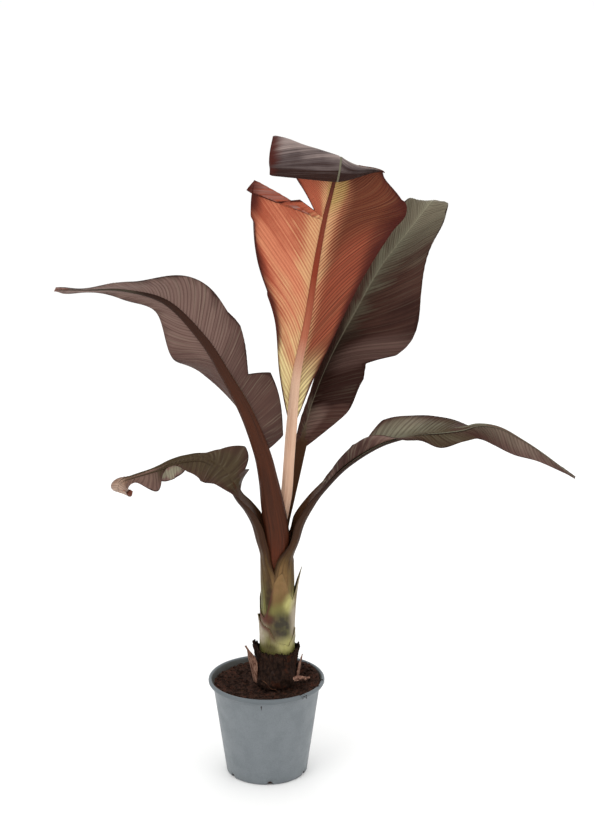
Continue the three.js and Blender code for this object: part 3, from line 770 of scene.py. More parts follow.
class PlantSettings(bpy.types.PropertyGroup):
    """All sizes and colours of the banana plant"""

    pot: bpy.props.PointerProperty(name="Pot", description="The nursery pot", type=PotSettings)
    soil: bpy.props.PointerProperty(name="Soil", description="Peat and crown", type=SoilSettings)
    stem: bpy.props.PointerProperty(name="Stem", description="Sheaths and stalks", type=StemSettings)
    leaves: bpy.props.PointerProperty(name="Leaves", description="Blades", type=LeafSettings)
    stage: bpy.props.PointerProperty(name="Stage", description="Floor and lights", type=StageSettings)


# The pot's section, in metres: how far below the lip its wall starts to flare, the rings of its
# wall, the round edge of its foot as points in from the foot and up, and its lip: points out from
# the wall and up from the lip's foot, then in from the rim and up from the lip's foot, then in from
# the rim and down from the top. The first drain notch faces DRAIN_AZIMUTH, in degrees.
NECK_DROP = 0.006
WALL_RINGS = 12
FOOT_HIGH = 0.002
FOOT_CURVE = [(0.004, 0), (0.002, 0.0004), (0, FOOT_HIGH)]
LIP_FLARE = [(0.0007, -0.0035), (0.0022, -0.0016)]
LIP_OUTSIDE = [(0.0034, -0.0004), (0.0014, 0.0008), (0.0002, 0.0028), (0, 0.0045)]
LIP_TOP = [(0.0004, 0.0017), (0.0014, 0.0003), (0.0026, 0), (0.0038, 0.0003), (0.0050, 0.0016),
           (0.0062, 0.0045)]
POT_STEPS = 144
DRAIN_AZIMUTH = -86


def inner_wall(f, pot):
    """One on the inside of the pot's wall, from a little above its floor, and nothing outside it."""
    x, y, z = f.parts(f.object)
    radius = f.math("SQRT", f.plus(f.times(x, x), f.times(y, y)))
    neck = POT_HIGH.z - pot.lip - NECK_DROP
    taper = f.spread(z, 0, neck, pot.foot, POT_HIGH.x - pot.lip_reach, "LINEAR")
    flare = f.spread(z, neck, neck + 0.0095, -0.0006, 0.003, "LINEAR")
    within = f.spread(f.minus(radius, f.plus(taper, flare)), 0.0001, -0.0004)
    return f.times(within, f.spread(z, SOIL_LOW.z + 0.01, SOIL_LOW.z + 0.04))


def pot_finish():
    pot = settings().pot
    f = Finish("pot_plastic", Roughness=0.5)
    clouds = f.noise(f.object, 40, 4, 0.6)
    flecks = f.noise(f.object, 700, 3, 0.6)
    flecked = f.spread(flecks, 0.4, 0.7, 0, 0.45)
    share = f.plus(f.spread(clouds, 0.35, 0.7, 0, 0.3), flecked, clamp=True)
    flat = f.mix(share, pot.plastic, pot.fleck_and_lip_shade)
    # Painted shade: the lip and the top of the wall are mixed towards the darker fleck colour.
    above = f.spread(f.parts(f.object)[2], POT_HIGH.z - 0.013, POT_HIGH.z - 0.005, 0, 0.95)
    flat = f.mix(above, flat, pot.fleck_and_lip_shade)
    # The inside of the wall above the peat is darkened: partly soil stain, partly painted shade inside the
    # pot.
    soil_stain_and_shade = f.times(inner_wall(f, pot), f.spread(clouds, 0.3, 0.7, 0.75, 1))
    flat = f.mix(soil_stain_and_shade, flat, pot.inside)
    height = f.plus(f.noise(f.object, 1400, 2), f.times(clouds, 2))
    return f.paint(flat, f.spread(clouds, 0.3, 0.7, 0.42, 0.56), height, 0.0001, 0.5)


class PLANT_OT_pot(bpy.types.Operator):
    """Build the round tapered pot with its lip and drain notches"""

    bl_idname = "plant.pot"
    bl_label = "Pot"

    def execute(self, context):
        pot = settings().pot
        rim, high = POT_HIGH.x, POT_HIGH.z
        under = rim - pot.lip_reach
        lip_foot = high - pot.lip
        wall, foot = pot.wall, pot.foot
        floor = wall * 1.5
        neck = lip_foot - NECK_DROP
        profile = [(0, 0)] + [(foot - back, up) for back, up in FOOT_CURVE]
        for k in range(1, WALL_RINGS + 1):
            radius = foot + (under - foot) * k / WALL_RINGS
            profile.append((radius, FOOT_HIGH + (neck - FOOT_HIGH) * k / WALL_RINGS))
        profile += [(under + out, lip_foot + up) for out, up in LIP_FLARE]
        profile += [(rim - back, lip_foot + up) for back, up in LIP_OUTSIDE]
        profile += [(rim - back, high - down) for back, down in LIP_TOP]
        profile += [(under - wall + 0.0004, neck), (foot - wall, floor + FOOT_HIGH)]
        profile += [(foot - wall - FOOT_HIGH, floor), (0, floor)]
        bm = lathe(profile, POT_STEPS)
        piece = add_piece("nursery_pot", bm, [pot_finish()], ["pot"])
        piece.data.set_sharp_from_angle(angle=math.radians(50))
        cut_drains(piece, pot)
        return {"FINISHED"}


def cut_drains(piece, pot):
    """Cut the small arches at the foot through the wall."""
    bm = bmesh.new()
    for k in range(pot.drains):
        turn = Matrix.Rotation(math.radians(DRAIN_AZIMUTH) + 2 * math.pi * k / pot.drains, 4, "Z")
        lie = Matrix.Rotation(math.pi / 2, 4, "Y")
        size = Matrix.Diagonal((pot.drain_high, pot.drain_wide / 2, 1, 1))
        place = turn @ Matrix.Translation((pot.foot, 0, 0)) @ lie @ size
        bmesh.ops.create_cone(bm, cap_ends=True, segments=32, radius1=1, radius2=1, depth=0.02, matrix=place)
    mesh = bpy.data.meshes.new("drains")
    bm.to_mesh(mesh)
    bm.free()
    cutter = bpy.data.objects.new("drains", mesh)
    bpy.context.scene.collection.objects.link(cutter)
    cut = piece.modifiers.new("Drains", "BOOLEAN")
    cut.object = cutter
    cut.operation = "DIFFERENCE"
    with bpy.context.temp_override(object=piece, active_object=piece):
        bpy.ops.object.modifier_apply(modifier=cut.name)
    bpy.data.objects.remove(cutter)
    bpy.data.meshes.remove(mesh)


# The peat, in metres: how far it goes past its solid into the pot's wall and how far below the
# solid's top it lies, where it starts to climb towards the wall and over what width, the way its
# bank faces in degrees, and its heaps by size and share of the lumps' height. Crumbs stay
# CRUMB_MARGIN in from the wall, fibres FIBRE_MARGIN further, and no crumb is longer than
# CRUMB_LONGEST times its size. RIM_CRUMBS of them are caught on the rim, near these azimuths.
PEAT_PAST = 0.0029
PEAT_LOWER = 0.0012
PEAT_RINGS = 84
PEAT_STEPS = 320
CLIMB_START = 0.056
CLIMB_WIDE = 0.02
BANK_AZIMUTH = 38
HEAPS = ((0.026, 1.1), (0.009, 1.3), (0.0042, 0.8), (0.002, 0.35))
CRUMB_MARGIN = 0.002
CRUMB_LONGEST = 1.7
FIBRE_MARGIN = 0.006
RIM_CRUMBS = 26
RIM_PLACES = (-53, -50, -22, -8)


def soil_reach():
    """The radius at which the peat meets the pot's wall, at its top."""
    return SOIL_HIGH.x + PEAT_PAST


def soil_height(x, y):
    """How high the peat lies at a place in the pot: it climbs towards the wall, in small heaps."""
    soil = settings().soil
    climb = min(1, max(0, (math.hypot(x, y) - CLIMB_START) / CLIMB_WIDE))
    climb = climb * climb * (3 - 2 * climb)
    bank = max(0, math.cos(math.atan2(y, x) - math.radians(BANK_AZIMUTH))) ** 3
    level = SOIL_HIGH.z - soil.heave * (1 - climb) + soil.bank * bank * climb - PEAT_LOWER
    return level + lumps((x, y, 0.3), *((size, part * soil.lump) for size, part in HEAPS))


def peat_finish():
    soil = settings().soil
    f = Finish("peat", Roughness=0.95, Specular_IOR_Level=0.05)
    coarse = f.noise(f.object, 90, 5, 0.7)
    fine = f.noise(f.object, 420, 4, 0.65)
    both = f.plus(f.times(coarse, 0.65), f.times(fine, 0.35))
    flat, _ = f.ramp(both, [(0.38, soil.peat_dark), (0.5, soil.peat), (0.62, soil.peat_red)])
    return f.paint(flat, None, both, 0.003)


class PLANT_OT_soil(bpy.types.Operator):
    """Fill the pot with peat, and strew it with crumbs and fibres"""

    bl_idname = "plant.soil"
    bl_label = "Peat"

    def execute(self, context):
        high, low, reach = SOIL_HIGH.z, SOIL_LOW.z, soil_reach()
        profile = [(0, low), (settings().pot.foot - 0.0012, low)]
        profile += [(reach * k / PEAT_RINGS, high) for k in range(PEAT_RINGS, -1, -1)]
        bm = lathe(profile, PEAT_STEPS)
        for vert in bm.verts:
            if vert.co.z > high - 0.001:
                vert.co.z = soil_height(vert.co.x, vert.co.y)
        add_piece("peat_fill", bm, [peat_finish()], ["potting_soil"])
        strew_crumbs()
        return {"FINISHED"}


def plain_finish(name, flat, dark, scale, roughness=0.9, distance=0.0006):
    """A dull grainy finish of two colours."""
    f = Finish(name, Roughness=roughness, Specular_IOR_Level=0.05)
    grain = f.noise(f.object, scale, 4, 0.65)
    return f.paint(f.mix(f.spread(grain, 0.35, 0.65), dark, flat), None, grain, distance)


def strew_crumbs():
    """Loose crumbs and fibres on the peat, a few of them caught on the rim."""
    soil = settings().soil
    draw = random.Random(SEED)
    bm = bmesh.new()
    reach = soil_reach() - CRUMB_MARGIN
    for k in range(soil.crumbs + soil.slivers):
        crumb = k < soil.crumbs
        radius = (reach if crumb else reach - FIBRE_MARGIN) * math.sqrt(draw.uniform(0.12, 1))
        turn = draw.uniform(0, 2 * math.pi)
        size = draw.uniform(0.0007, 0.0015) * (1 + 1.8 * draw.random() ** 4)
        radius = min(radius, reach - CRUMB_LONGEST * size)
        x, y = radius * math.cos(turn), radius * math.sin(turn)
        spin = Matrix.Rotation(draw.uniform(0, 6.3), 4, "Z")
        spin = spin @ Matrix.Rotation(draw.uniform(-0.4, 0.4), 4, "Y")
        place = Matrix.Translation((x, y, soil_height(x, y) + 0.3 * size)) @ spin
        first = len(bm.faces)
        if crumb:
            long, high = draw.uniform(0.8, CRUMB_LONGEST), draw.uniform(0.5, 0.9)
            shape = Matrix.Diagonal((size * long, size, size * high, 1))
            bmesh.ops.create_icosphere(bm, subdivisions=1, radius=1, matrix=place @ shape)
        else:
            shape = Matrix.Diagonal((draw.uniform(0.004, 0.012), 0.0005, 0.0004, 1))
            bmesh.ops.create_cube(bm, size=1, matrix=place @ shape)
        index = draw.choice((0, 0, 0, 0, 1)) if crumb else draw.choice((0, 1, 1, 2))
        bm.faces.ensure_lookup_table()
        for face in bm.faces[first:]:
            face.material_index = index
    crumbs_on_rim(bm, draw)
    finishes = [
        plain_finish("crumb_dark", soil.peat, soil.peat_dark, 800),
        plain_finish("crumb_red", soil.peat_red, soil.peat, 800),
        plain_finish("crumb_straw", soil.straw, soil.peat_red, 600),
    ]
    add_piece("peat_crumbs", bm, finishes)


def crumbs_on_rim(bm, draw):
    """Crumbs caught in small groups on the pot's rim, some of them on the side of its lip."""
    for _ in range(RIM_CRUMBS):
        turn = math.radians(draw.choice(RIM_PLACES) + draw.gauss(0, 3))
        on_side = draw.random() < 0.3
        radius = POT_HIGH.x - (0.0003 if on_side else draw.uniform(0.002, 0.006))
        height = POT_HIGH.z - (draw.uniform(0.002, 0.007) if on_side else 0)
        place = Matrix.Translation(round_axis(radius, turn, height))
        size = draw.uniform(0.0006, 0.0014)
        shape = Matrix.Diagonal((size, size * 1.4, size * 0.8, 1))
        bmesh.ops.create_icosphere(bm, subdivisions=1, radius=1, matrix=place @ shape)


def crown_finish():
    soil = settings().soil
    f = Finish("crown_skin", Roughness=0.8, Specular_IOR_Level=0.05)
    blotch = f.noise(f.object, 70, 4, 0.6)
    fibre = f.noise(f.stretched(f.parts(f.object), (260, 260, 90)), 1, 4, 0.7)
    flat = f.mix(f.spread(fibre, 0.38, 0.66), soil.peat_dark, soil.crown)
    flat = f.mix(f.spread(blotch, 0.55, 0.68, 0, 0.55), flat, soil.crown_red)
    other = f.noise(f.object, 55, 3, 0.6)
    flat = f.mix(f.spread(other, 0.58, 0.7, 0, 0.4), flat, soil.crown_grey)
    return f.paint(flat, f.spread(blotch, 0.4, 0.7, 0.75, 0.95), f.plus(fibre, blotch), 0.003)


# How far the crown's body goes past its solid up and down, in metres, and its radius by the share
# of its height.
CROWN_PAST = 0.003
CROWN_RADII = ((0.1, 0.35, 0.6, 0.8, 1), (0.0355, 0.0382, 0.037, 0.0325, 0.027))


def crown_body(skin):
    """The crown's knobby body: a ball drawn out to its height, with rings, knobs and roughness."""
    knob = settings().soil.knob
    middle = (CROWN_LOW + CROWN_HIGH) / 2
    low, high = CROWN_LOW.z - CROWN_PAST, CROWN_HIGH.z + CROWN_PAST
    bm = bmesh.new()
    bmesh.ops.create_uvsphere(bm, u_segments=128, v_segments=72, radius=1)
    for vert in bm.verts:
        share = math.acos(max(-1, min(1, -vert.co.z))) / math.pi
        turn = math.atan2(vert.co.y, vert.co.x)
        side = min(1, 7 * share, 9 * (1 - share)) ** 0.5
        radius = side * np.interp(share, *CROWN_RADII)
        height = low + (high - low) * share
        rings = 0.0007 * math.sin(height / 0.0062 + 2 * math.sin(turn * 2))
        bumps = math.sin(5 * turn + height / 0.009) + 0.6 * math.sin(9 * turn - height / 0.006)
        rough = lumps(round_axis(radius, turn, height), (0.012, 0.0028), (0.005, 0.0018), (0.0024, 0.0009))
        radius += side * (0.6 * (knob * bumps) + rings + rough)
        x, y, _ = round_axis(radius, turn, height)
        vert.co = (middle.x + x, middle.y + y, height)
    add_piece("crown_body", bm, [skin], ["root_crown"])


class PLANT_OT_crown(bpy.types.Operator):
    """Build the knobby root crown with its collar, dry scales, flake and rootlet"""

    bl_idname = "plant.crown"
    bl_label = "Root crown"

    def execute(self, context):
        soil = settings().soil
        skin = crown_finish()
        crown_body(skin)
        wrap_piece("crown_collar", [skin, skin])
        dry = scale_finish()
        for name in SCALES:
            scale_piece(name, dry)
        flake_piece(plain_finish("pale_flake", soil.flake, soil.scale_dark, 180, 0.8, 0.0008))
        rootlet_piece(plain_finish("rootlet", soil.straw, soil.scale_dark, 180, 0.8, 0.0004))
        return {"FINISHED"}


def flake_piece(skin):
    """A thin crumpled flake that stands on edge."""
    rows = np.array(FLAKE, float)

    def rule(across, along):
        x, y, z, half = row_at(rows, along).T
        side = 2 * across - 1
        crease = np.array([noise.noise((a * 3, b * 6, 5)) for a, b in zip(across, along)])
        return np.stack([x, y + 2.5 * crease - 1.5 * side, z + side * half + 1.2 * crease], axis=1) * MM

    thicken(add_piece("crown_flake", shaped_grid(12, 40, rule), [skin, skin]), 0.0012)


def rootlet_piece(skin):
    """A thin root that runs down the crown."""
    rows = np.array(ROOTLET, float)

    def rule(around, along):
        x, y, z, radius = row_at(rows, along).T
        turn = 2 * math.pi * around
        wander = np.sin(9 * along) * 0.8
        return np.stack([x, y + radius * np.cos(turn), z + wander + radius * np.sin(turn)], axis=1) * MM

    add_piece("crown_rootlet", shaped_grid(8, 40, rule, closed=True), [skin])


def wrap_piece(name, materials):
    """What is left of an old sheath, wrapped round its axis up to its ragged edge."""
    wrap = WRAPS[name]
    edge = np.array(sorted(wrap["edge"]), float)

    def rule(around, rise):
        azimuth = 360 * around - 180
        top = np.interp(azimuth, edge[:, 0], edge[:, 1], period=360)
        stand = np.interp(azimuth, edge[:, 0], edge[:, 2], period=360)
        turn = np.radians(azimuth)
        seed = len(name)
        tear = [lumps(round_axis(3, a, seed), (0.35, 1), (0.12, 0.7)) for a in turn]
        top = top + wrap["ragged"] * 2 * np.array(tear)
        height = wrap["foot"] + (top - wrap["foot"]) * rise
        radius = wrap["radius"] + stand * rise ** wrap["power"]
        crease = [lumps(round_axis(3, a, seed + z / 60), (0.5, 1), (0.16, 0.5)) for a, z in zip(turn, height)]
        radius = radius + wrap["ragged"] * np.array(crease) * rise
        if "lump" in wrap:
            knots = [lumps(round_axis(34, a, z), (6, 1), (2.5, 0.7)) for a, z in zip(turn, height)]
            radius = radius + wrap["lump"] * np.array(knots)
        x = wrap["axis"][0] + radius * np.cos(turn)
        y = wrap["axis"][1] + radius * np.sin(turn)
        return np.stack([x, y, height], axis=1) * MM

    bm = shaped_grid(240, 60, rule)
    bmesh.ops.remove_doubles(bm, verts=bm.verts, dist=WELD)
    piece = add_piece(name, bm, materials, wrap["replaces"])
    thicken(piece, wrap["wall"] * MM)


def scale_finish():
    soil = settings().soil
    f = Finish("dry_scale", Roughness=0.75, Specular_IOR_Level=0.1)
    streak = f.noise(f.stretched(f.parts(f.object), (500, 500, 90)), 1, 4, 0.6)
    patch = f.noise(f.object, 90, 3, 0.6)
    share = f.plus(f.spread(streak, 0.4, 0.66), f.spread(patch, 0.45, 0.7, 0, 0.6), clamp=True)
    return f.paint(f.mix(share, soil.scale, soil.scale_dark), None, streak, 0.0006)


def scale_piece(name, skin):
    """One dry scale, cupped and crumpled, from its broad foot to its hooked tip."""
    scale = SCALES[name]
    rows = np.array(scale["rows"], float)
    middle = (CROWN_LOW + CROWN_HIGH) / 2 / MM

    def rule(across, rise):
        facing, half, height, radius = row_at(rows, rise).T
        side = 2 * across - 1
        turn = np.radians(facing + side * half)
        crease = np.array([noise.noise((a * 3, b * 5, len(name))) for a, b in zip(across, rise)])
        radius = radius - scale["cup"] * (1 - side ** 2) * rise + scale["crumple"] * crease * (0.3 + rise)
        radius = radius - scale["splay"] * side * rise * half / 15
        height = height + scale["crumple"] * crease * rise
        return np.stack([middle.x + radius * np.cos(turn), middle.y + radius * np.sin(turn), height], 1) * MM

    piece = add_piece(f"dry_{name}", shaped_grid(24, 60, rule), [skin, skin], [name])
    thicken(piece, 0.0009)


def sheath_finish(name, low_colour, high_colour, margin):
    """The skin of an old sheath: pale and streaked, darker along its ragged edge."""
    stem = settings().stem
    f = Finish(name, Roughness=0.5, Specular_IOR_Level=0.15)
    around, rise, _ = f.parts(f.map)
    streak = f.noise(f.stretched((around, rise), (160, 3)), 1, 4, 0.65)
    patch = f.noise(f.object, 45, 3, 0.6)
    flat = f.mix(f.spread(rise, 0.2, 0.9), low_colour, high_colour)
    flat = f.mix(f.spread(patch, 0.42, 0.62, 0, 0.8), flat, stem.green)
    flat = f.mix(f.spread(streak, 0.46, 0.68, 0, 0.6), flat, stem.brown)
    flat = stem_flushes(f, flat, streak)
    at_left = f.spread(f.parts(f.object)[0], 0.018, 0.002)
    torn = f.times(f.spread(rise, 0.76, 1.0, 0, 0.9), at_left)
    return f.paint(f.mix(torn, flat, margin), None, streak, 0.0006)


def stem_flushes(f, flat, streak):
    """The stem's flushes, bands and stains over its ground colour, and a painted shadow line."""
    stem = settings().stem
    wander = f.spread(f.noise(f.object, 120, 1, 0.5), 0.3, 0.7, -0.5, 0.5, "LINEAR")
    for key, centre, radii, share in FLUSHES:
        spot = f.spot(f.object, [part * MM for part in centre], [part * MM for part in radii], 0.8)
        spot = f.times(spot, f.spread(streak, 0.25, 0.6, 0.93, 1.03))
        spot = f.math("MULTIPLY_ADD", f.times(wander, spot), 0.5, spot, clamp=True)
        flat = f.mix(f.times(spot, share), flat, getattr(stem, key))
    return flat


def limb_finish(name, low, high, rib, upper, over, edge, far, joint):
    """The skin of a limb: by height on the stem and stalk, then along the rib; its hollow differs."""
    f = Finish(name, Roughness=0.42, Specular_IOR_Level=0.09)
    around, along, _ = f.parts(f.map)
    height = f.parts(f.object)[2]
    streak = f.noise(f.stretched((around, along), (170, 7)), 1, 4, 0.65)
    patch = f.noise(f.object, 30, 3, 0.6)
    shifted = f.plus(height, f.spread(patch, 0.3, 0.7, -0.02, 0.02, "LINEAR"))
    stalk, _ = f.ramp(f.spread(shifted, 0.2, 0.6, 0, 1, "LINEAR"), low + high)
    if name in ("limb_lower_left", "limb_lower_right"):
        stalk = stem_flushes(f, stalk, streak)
    ribbed, _ = f.ramp(along, rib)
    flat = f.mix(f.spread(along, joint - 0.06, joint + 0.06), stalk, ribbed)
    half = LIMB_SIDE / LIMB_COLUMNS
    near = f.math("ABSOLUTE", f.minus(around, half / 2))
    rim = f.mix(f.spread(along, joint, joint + 0.1), edge, far)
    rim = f.mix(f.spread(along, 0.79, 0.84), rim, over)
    flat = f.mix(f.spread(near, half * 0.44, half * 0.5, 0, 0.6), flat, rim)
    band = f.noise(f.stretched((around, along), (38, 5)), 1, 3, 0.6)
    flat = f.mix(f.spread(band, 0.45, 0.68, 0, 0.12 if name == "limb_centre" else 0.5), flat, rim)
    flat = f.mix(f.spread(streak, 0.46, 0.66, 0, 0.6), flat, rim)
    flat = f.mix(f.spread(streak, 0.45, 0.3, 0, 0.2), flat, upper)
    inside = f.math("GREATER_THAN", around, (LIMB_SIDE + 0.7) / LIMB_COLUMNS)
    hollow = f.mix(f.spread(along, joint, joint + 0.1), upper, over)
    flat = f.mix(inside, flat, f.mix(f.spread(streak, 0.46, 0.66, 0, 0.3), hollow, rim))
    return f.paint(flat, f.spread(streak, 0.3, 0.7, 0.36, 0.5), streak, 0.0006)


def limb_finishes():
    """The finishes of the five limbs, by leaf."""
    stem = settings().stem
    leaves = settings().leaves
    olive_low = [(0, stem.cream), (0.22, stem.green), (0.34, stem.olive)]
    return {
        "lower_right": dict(
            low=olive_low, high=[(0.5, stem.brown), (0.9, stem.dark)],
            rib=[(0.5, stem.dark), (1, stem.dark)],
            upper=stem.brown, over=leaves.moss, edge=stem.dark, far=stem.dark),
        "lower_left": dict(
            low=olive_low, high=[(0.48, stem.brown), (0.85, stem.dark)],
            rib=[(0.4, stem.dark), (1, leaves.olive)],
            upper=stem.brown, over=leaves.olive, edge=stem.dark, far=leaves.olive),
        "upper_left": dict(
            low=[(0, stem.olive), (0.3, stem.red), (0.45, stem.red)],
            high=[(0.6, stem.red_brown), (1, stem.red_brown)],
            rib=[(0.5, stem.red_brown), (0.8, stem.dark)],
            upper=stem.red_brown, over=leaves.moss, edge=stem.dark, far=stem.dark),
        "back_right": dict(
            low=[(0, stem.olive), (0.5, stem.orange)], high=[(0.7, stem.orange), (1, stem.red_brown)],
            rib=[(0.5, stem.red_brown), (1, stem.dark)],
            upper=stem.brown, over=leaves.sage, edge=stem.dark, far=stem.dark),
        "centre": dict(
            low=[(0, stem.pink), (0.5, stem.pink)], high=[(0.7, stem.pink), (1, stem.pink)],
            rib=[(0.34, stem.pink), (0.42, stem.pink), (0.48, stem.rose), (0.56, stem.brick),
                 (0.72, stem.scar)],
            upper=stem.pink, over=leaves.moss, edge=stem.rose, far=stem.brick),
    }


class PLANT_OT_stem(bpy.types.Operator):
    """Build the old sheaths round the foot of the stem"""

    bl_idname = "plant.stem"
    bl_label = "Old sheaths"

    def execute(self, context):
        stem = settings().stem
        inner = plain_finish("sheath_inside", stem.cream, stem.olive, 90, 0.6, 0.0002)
        pointed = sheath_finish("sheath_pointed", stem.cream, stem.olive, stem.scar)
        base = sheath_finish("sheath_base", stem.green, stem.cream, stem.scar)
        wrap_piece("pointed_sheath", [pointed, inner])
        wrap_piece("base_sheath", [base, inner])
        return {"FINISHED"}


class PLANT_OT_limbs(bpy.types.Operator):
    """Build each leaf's sheath, stalk and midrib as one limb"""

    bl_idname = "plant.limbs"
    bl_label = "Sheaths, stalks and ribs"

    def execute(self, context):
        relief = settings().stem.relief / MM
        finishes = limb_finishes()
        for name in SHEATHS:
            leaf = Leaf(name)

            def rule(around, along):
                return limb_points(leaf, around * LIMB_COLUMNS, along, relief)

            rows = LIMB_ROWS * (len(leaf.path) - 1)
            bm = shaped_grid(LIMB_COLUMNS, rows, rule, closed=True)
            skin = limb_finish(f"limb_{name}", joint=leaf.joint, **finishes[name])
            add_piece(f"limb_{name}", bm, [skin], [f"petiole_{name}"])
        return {"FINISHED"}


def blade_finish(name, look):
    """One side of a blade: its colours from rib to margin and along it, crossed by its veins."""
    leaves = settings().leaves
    paint = {key: tuple(getattr(leaves, key)) for key in leaves.__annotations__ if key != "wall"}
    f = Finish(name, Roughness=0.5, Specular_IOR_Level=look.get("gloss", 0.12))
    across, along, _ = f.parts(f.map)
    signed = f.math("MULTIPLY_ADD", across, 2, -1)
    away = f.math("ABSOLUTE", signed)
    right = f.math("GREATER_THAN", signed, 0)
    count = look["veins"]
    side = f.times(right, 9)
    bow = f.times(f.times(along, f.minus(1, along)), 4 * look.get("bow", 0))
    vein = f.minus(along, f.times(away, bow))

    def veined(density, stretch, detail=2):
        """A noise drawn out along the veins, with a pattern of its own on each half."""
        place = f.vector(f.times(vein, density), f.times(away, stretch), side)
        return f.noise(place, 1, detail)

    def on_half(key, share):
        """A share on one half of the blade alone."""
        return f.times(right if key == "right" else f.minus(1, right), share)

    broad = veined(count * 0.22, 0.7)
    streak = veined(count * 1.3, 0.4)
    fine = veined(count * 3.4, 0.6, 3)
    wave = f.math("SINE", f.times(vein, 2 * math.pi * count))
    line = f.times(f.spread(wave, 0.0, 0.9), f.spread(streak, 0.3, 0.6, 0.4, 1))
    mottle = f.noise(f.object, 16, 3, 0.55)
    shift = f.plus(f.spread(mottle, 0.3, 0.7, -0.12, 0.12, "LINEAR"),
                   f.spread(broad, 0.3, 0.7, -0.2, 0.2, "LINEAR"))
    shift = f.plus(shift, f.spread(streak, 0.3, 0.7, -0.12, 0.12, "LINEAR"))
    flat, _ = f.ramp(f.plus(away, shift), [(place, paint[key]) for place, key in look["across"]])
    if "along" in look:
        stops = [(place, (*paint[key], part)) for place, key, part in look["along"]]
        band, share = f.ramp(f.plus(along, f.times(shift, 0.25)), stops)
        flat = f.mix(share, flat, band)
    # Painted shade: a colour laid over the half of a blade that is turned away from the light.
    for key, tone, share in look.get("halves", []):
        flat = f.mix(on_half(key, f.spread(away, 0.02, 0.32, 0, share)), flat, paint[tone])
    for key, centre, radii, share in look.get("spots", []):
        spot = f.spot(f.map, (*centre, 0), (*radii, 1))
        spot = f.times(spot, f.spread(streak, 0.3, 0.6, 0.5 * share, share))
        flat = f.mix(spot, flat, paint[key])
    stripe, depth = look["stripe"]
    dark = f.mix(right, paint[look.get("stripe_left", stripe)], paint[stripe])
    flat = f.mix(f.times(line, f.spread(away, 0, 0.12, 0, depth)), flat, dark)
    flat = f.mix(f.spread(fine, 0.5, 0.68, 0, depth * 0.8), flat, dark)
    for key, tone, reach, share in look.get("light", []):
        lines = f.times(f.spread(wave, 0.1, -0.8), f.spread(away, reach, reach * 0.3, 0, share))
        flat = f.mix(on_half(key, lines), flat, paint[tone])
    glint = f.spread(fine, 0.46, 0.32, 0, look.get("glint", 0.22))
    flat = f.mix(glint, flat, paint[look.get("pale", "sage")])
    edge, start, share = look["edge"]
    ragged = f.plus(away, f.spread(broad, 0.3, 0.7, -0.06, 0.06, "LINEAR"))
    flat = f.mix(f.spread(ragged, start, 0.99, 0, share), flat, paint[edge])
    if "groove" in look:
        wide, share = look["groove"]
        flat = f.mix(f.spread(away, wide, wide * 0.4, 0, share), flat, paint["sage"])
    grain = f.plus(streak, f.times(fine, 0.6))
    height = f.plus(f.times(wave, 0.35), grain)
    return f.paint(flat, f.spread(mottle, 0.3, 0.7, 0.42, 0.58), height, 0.0006)


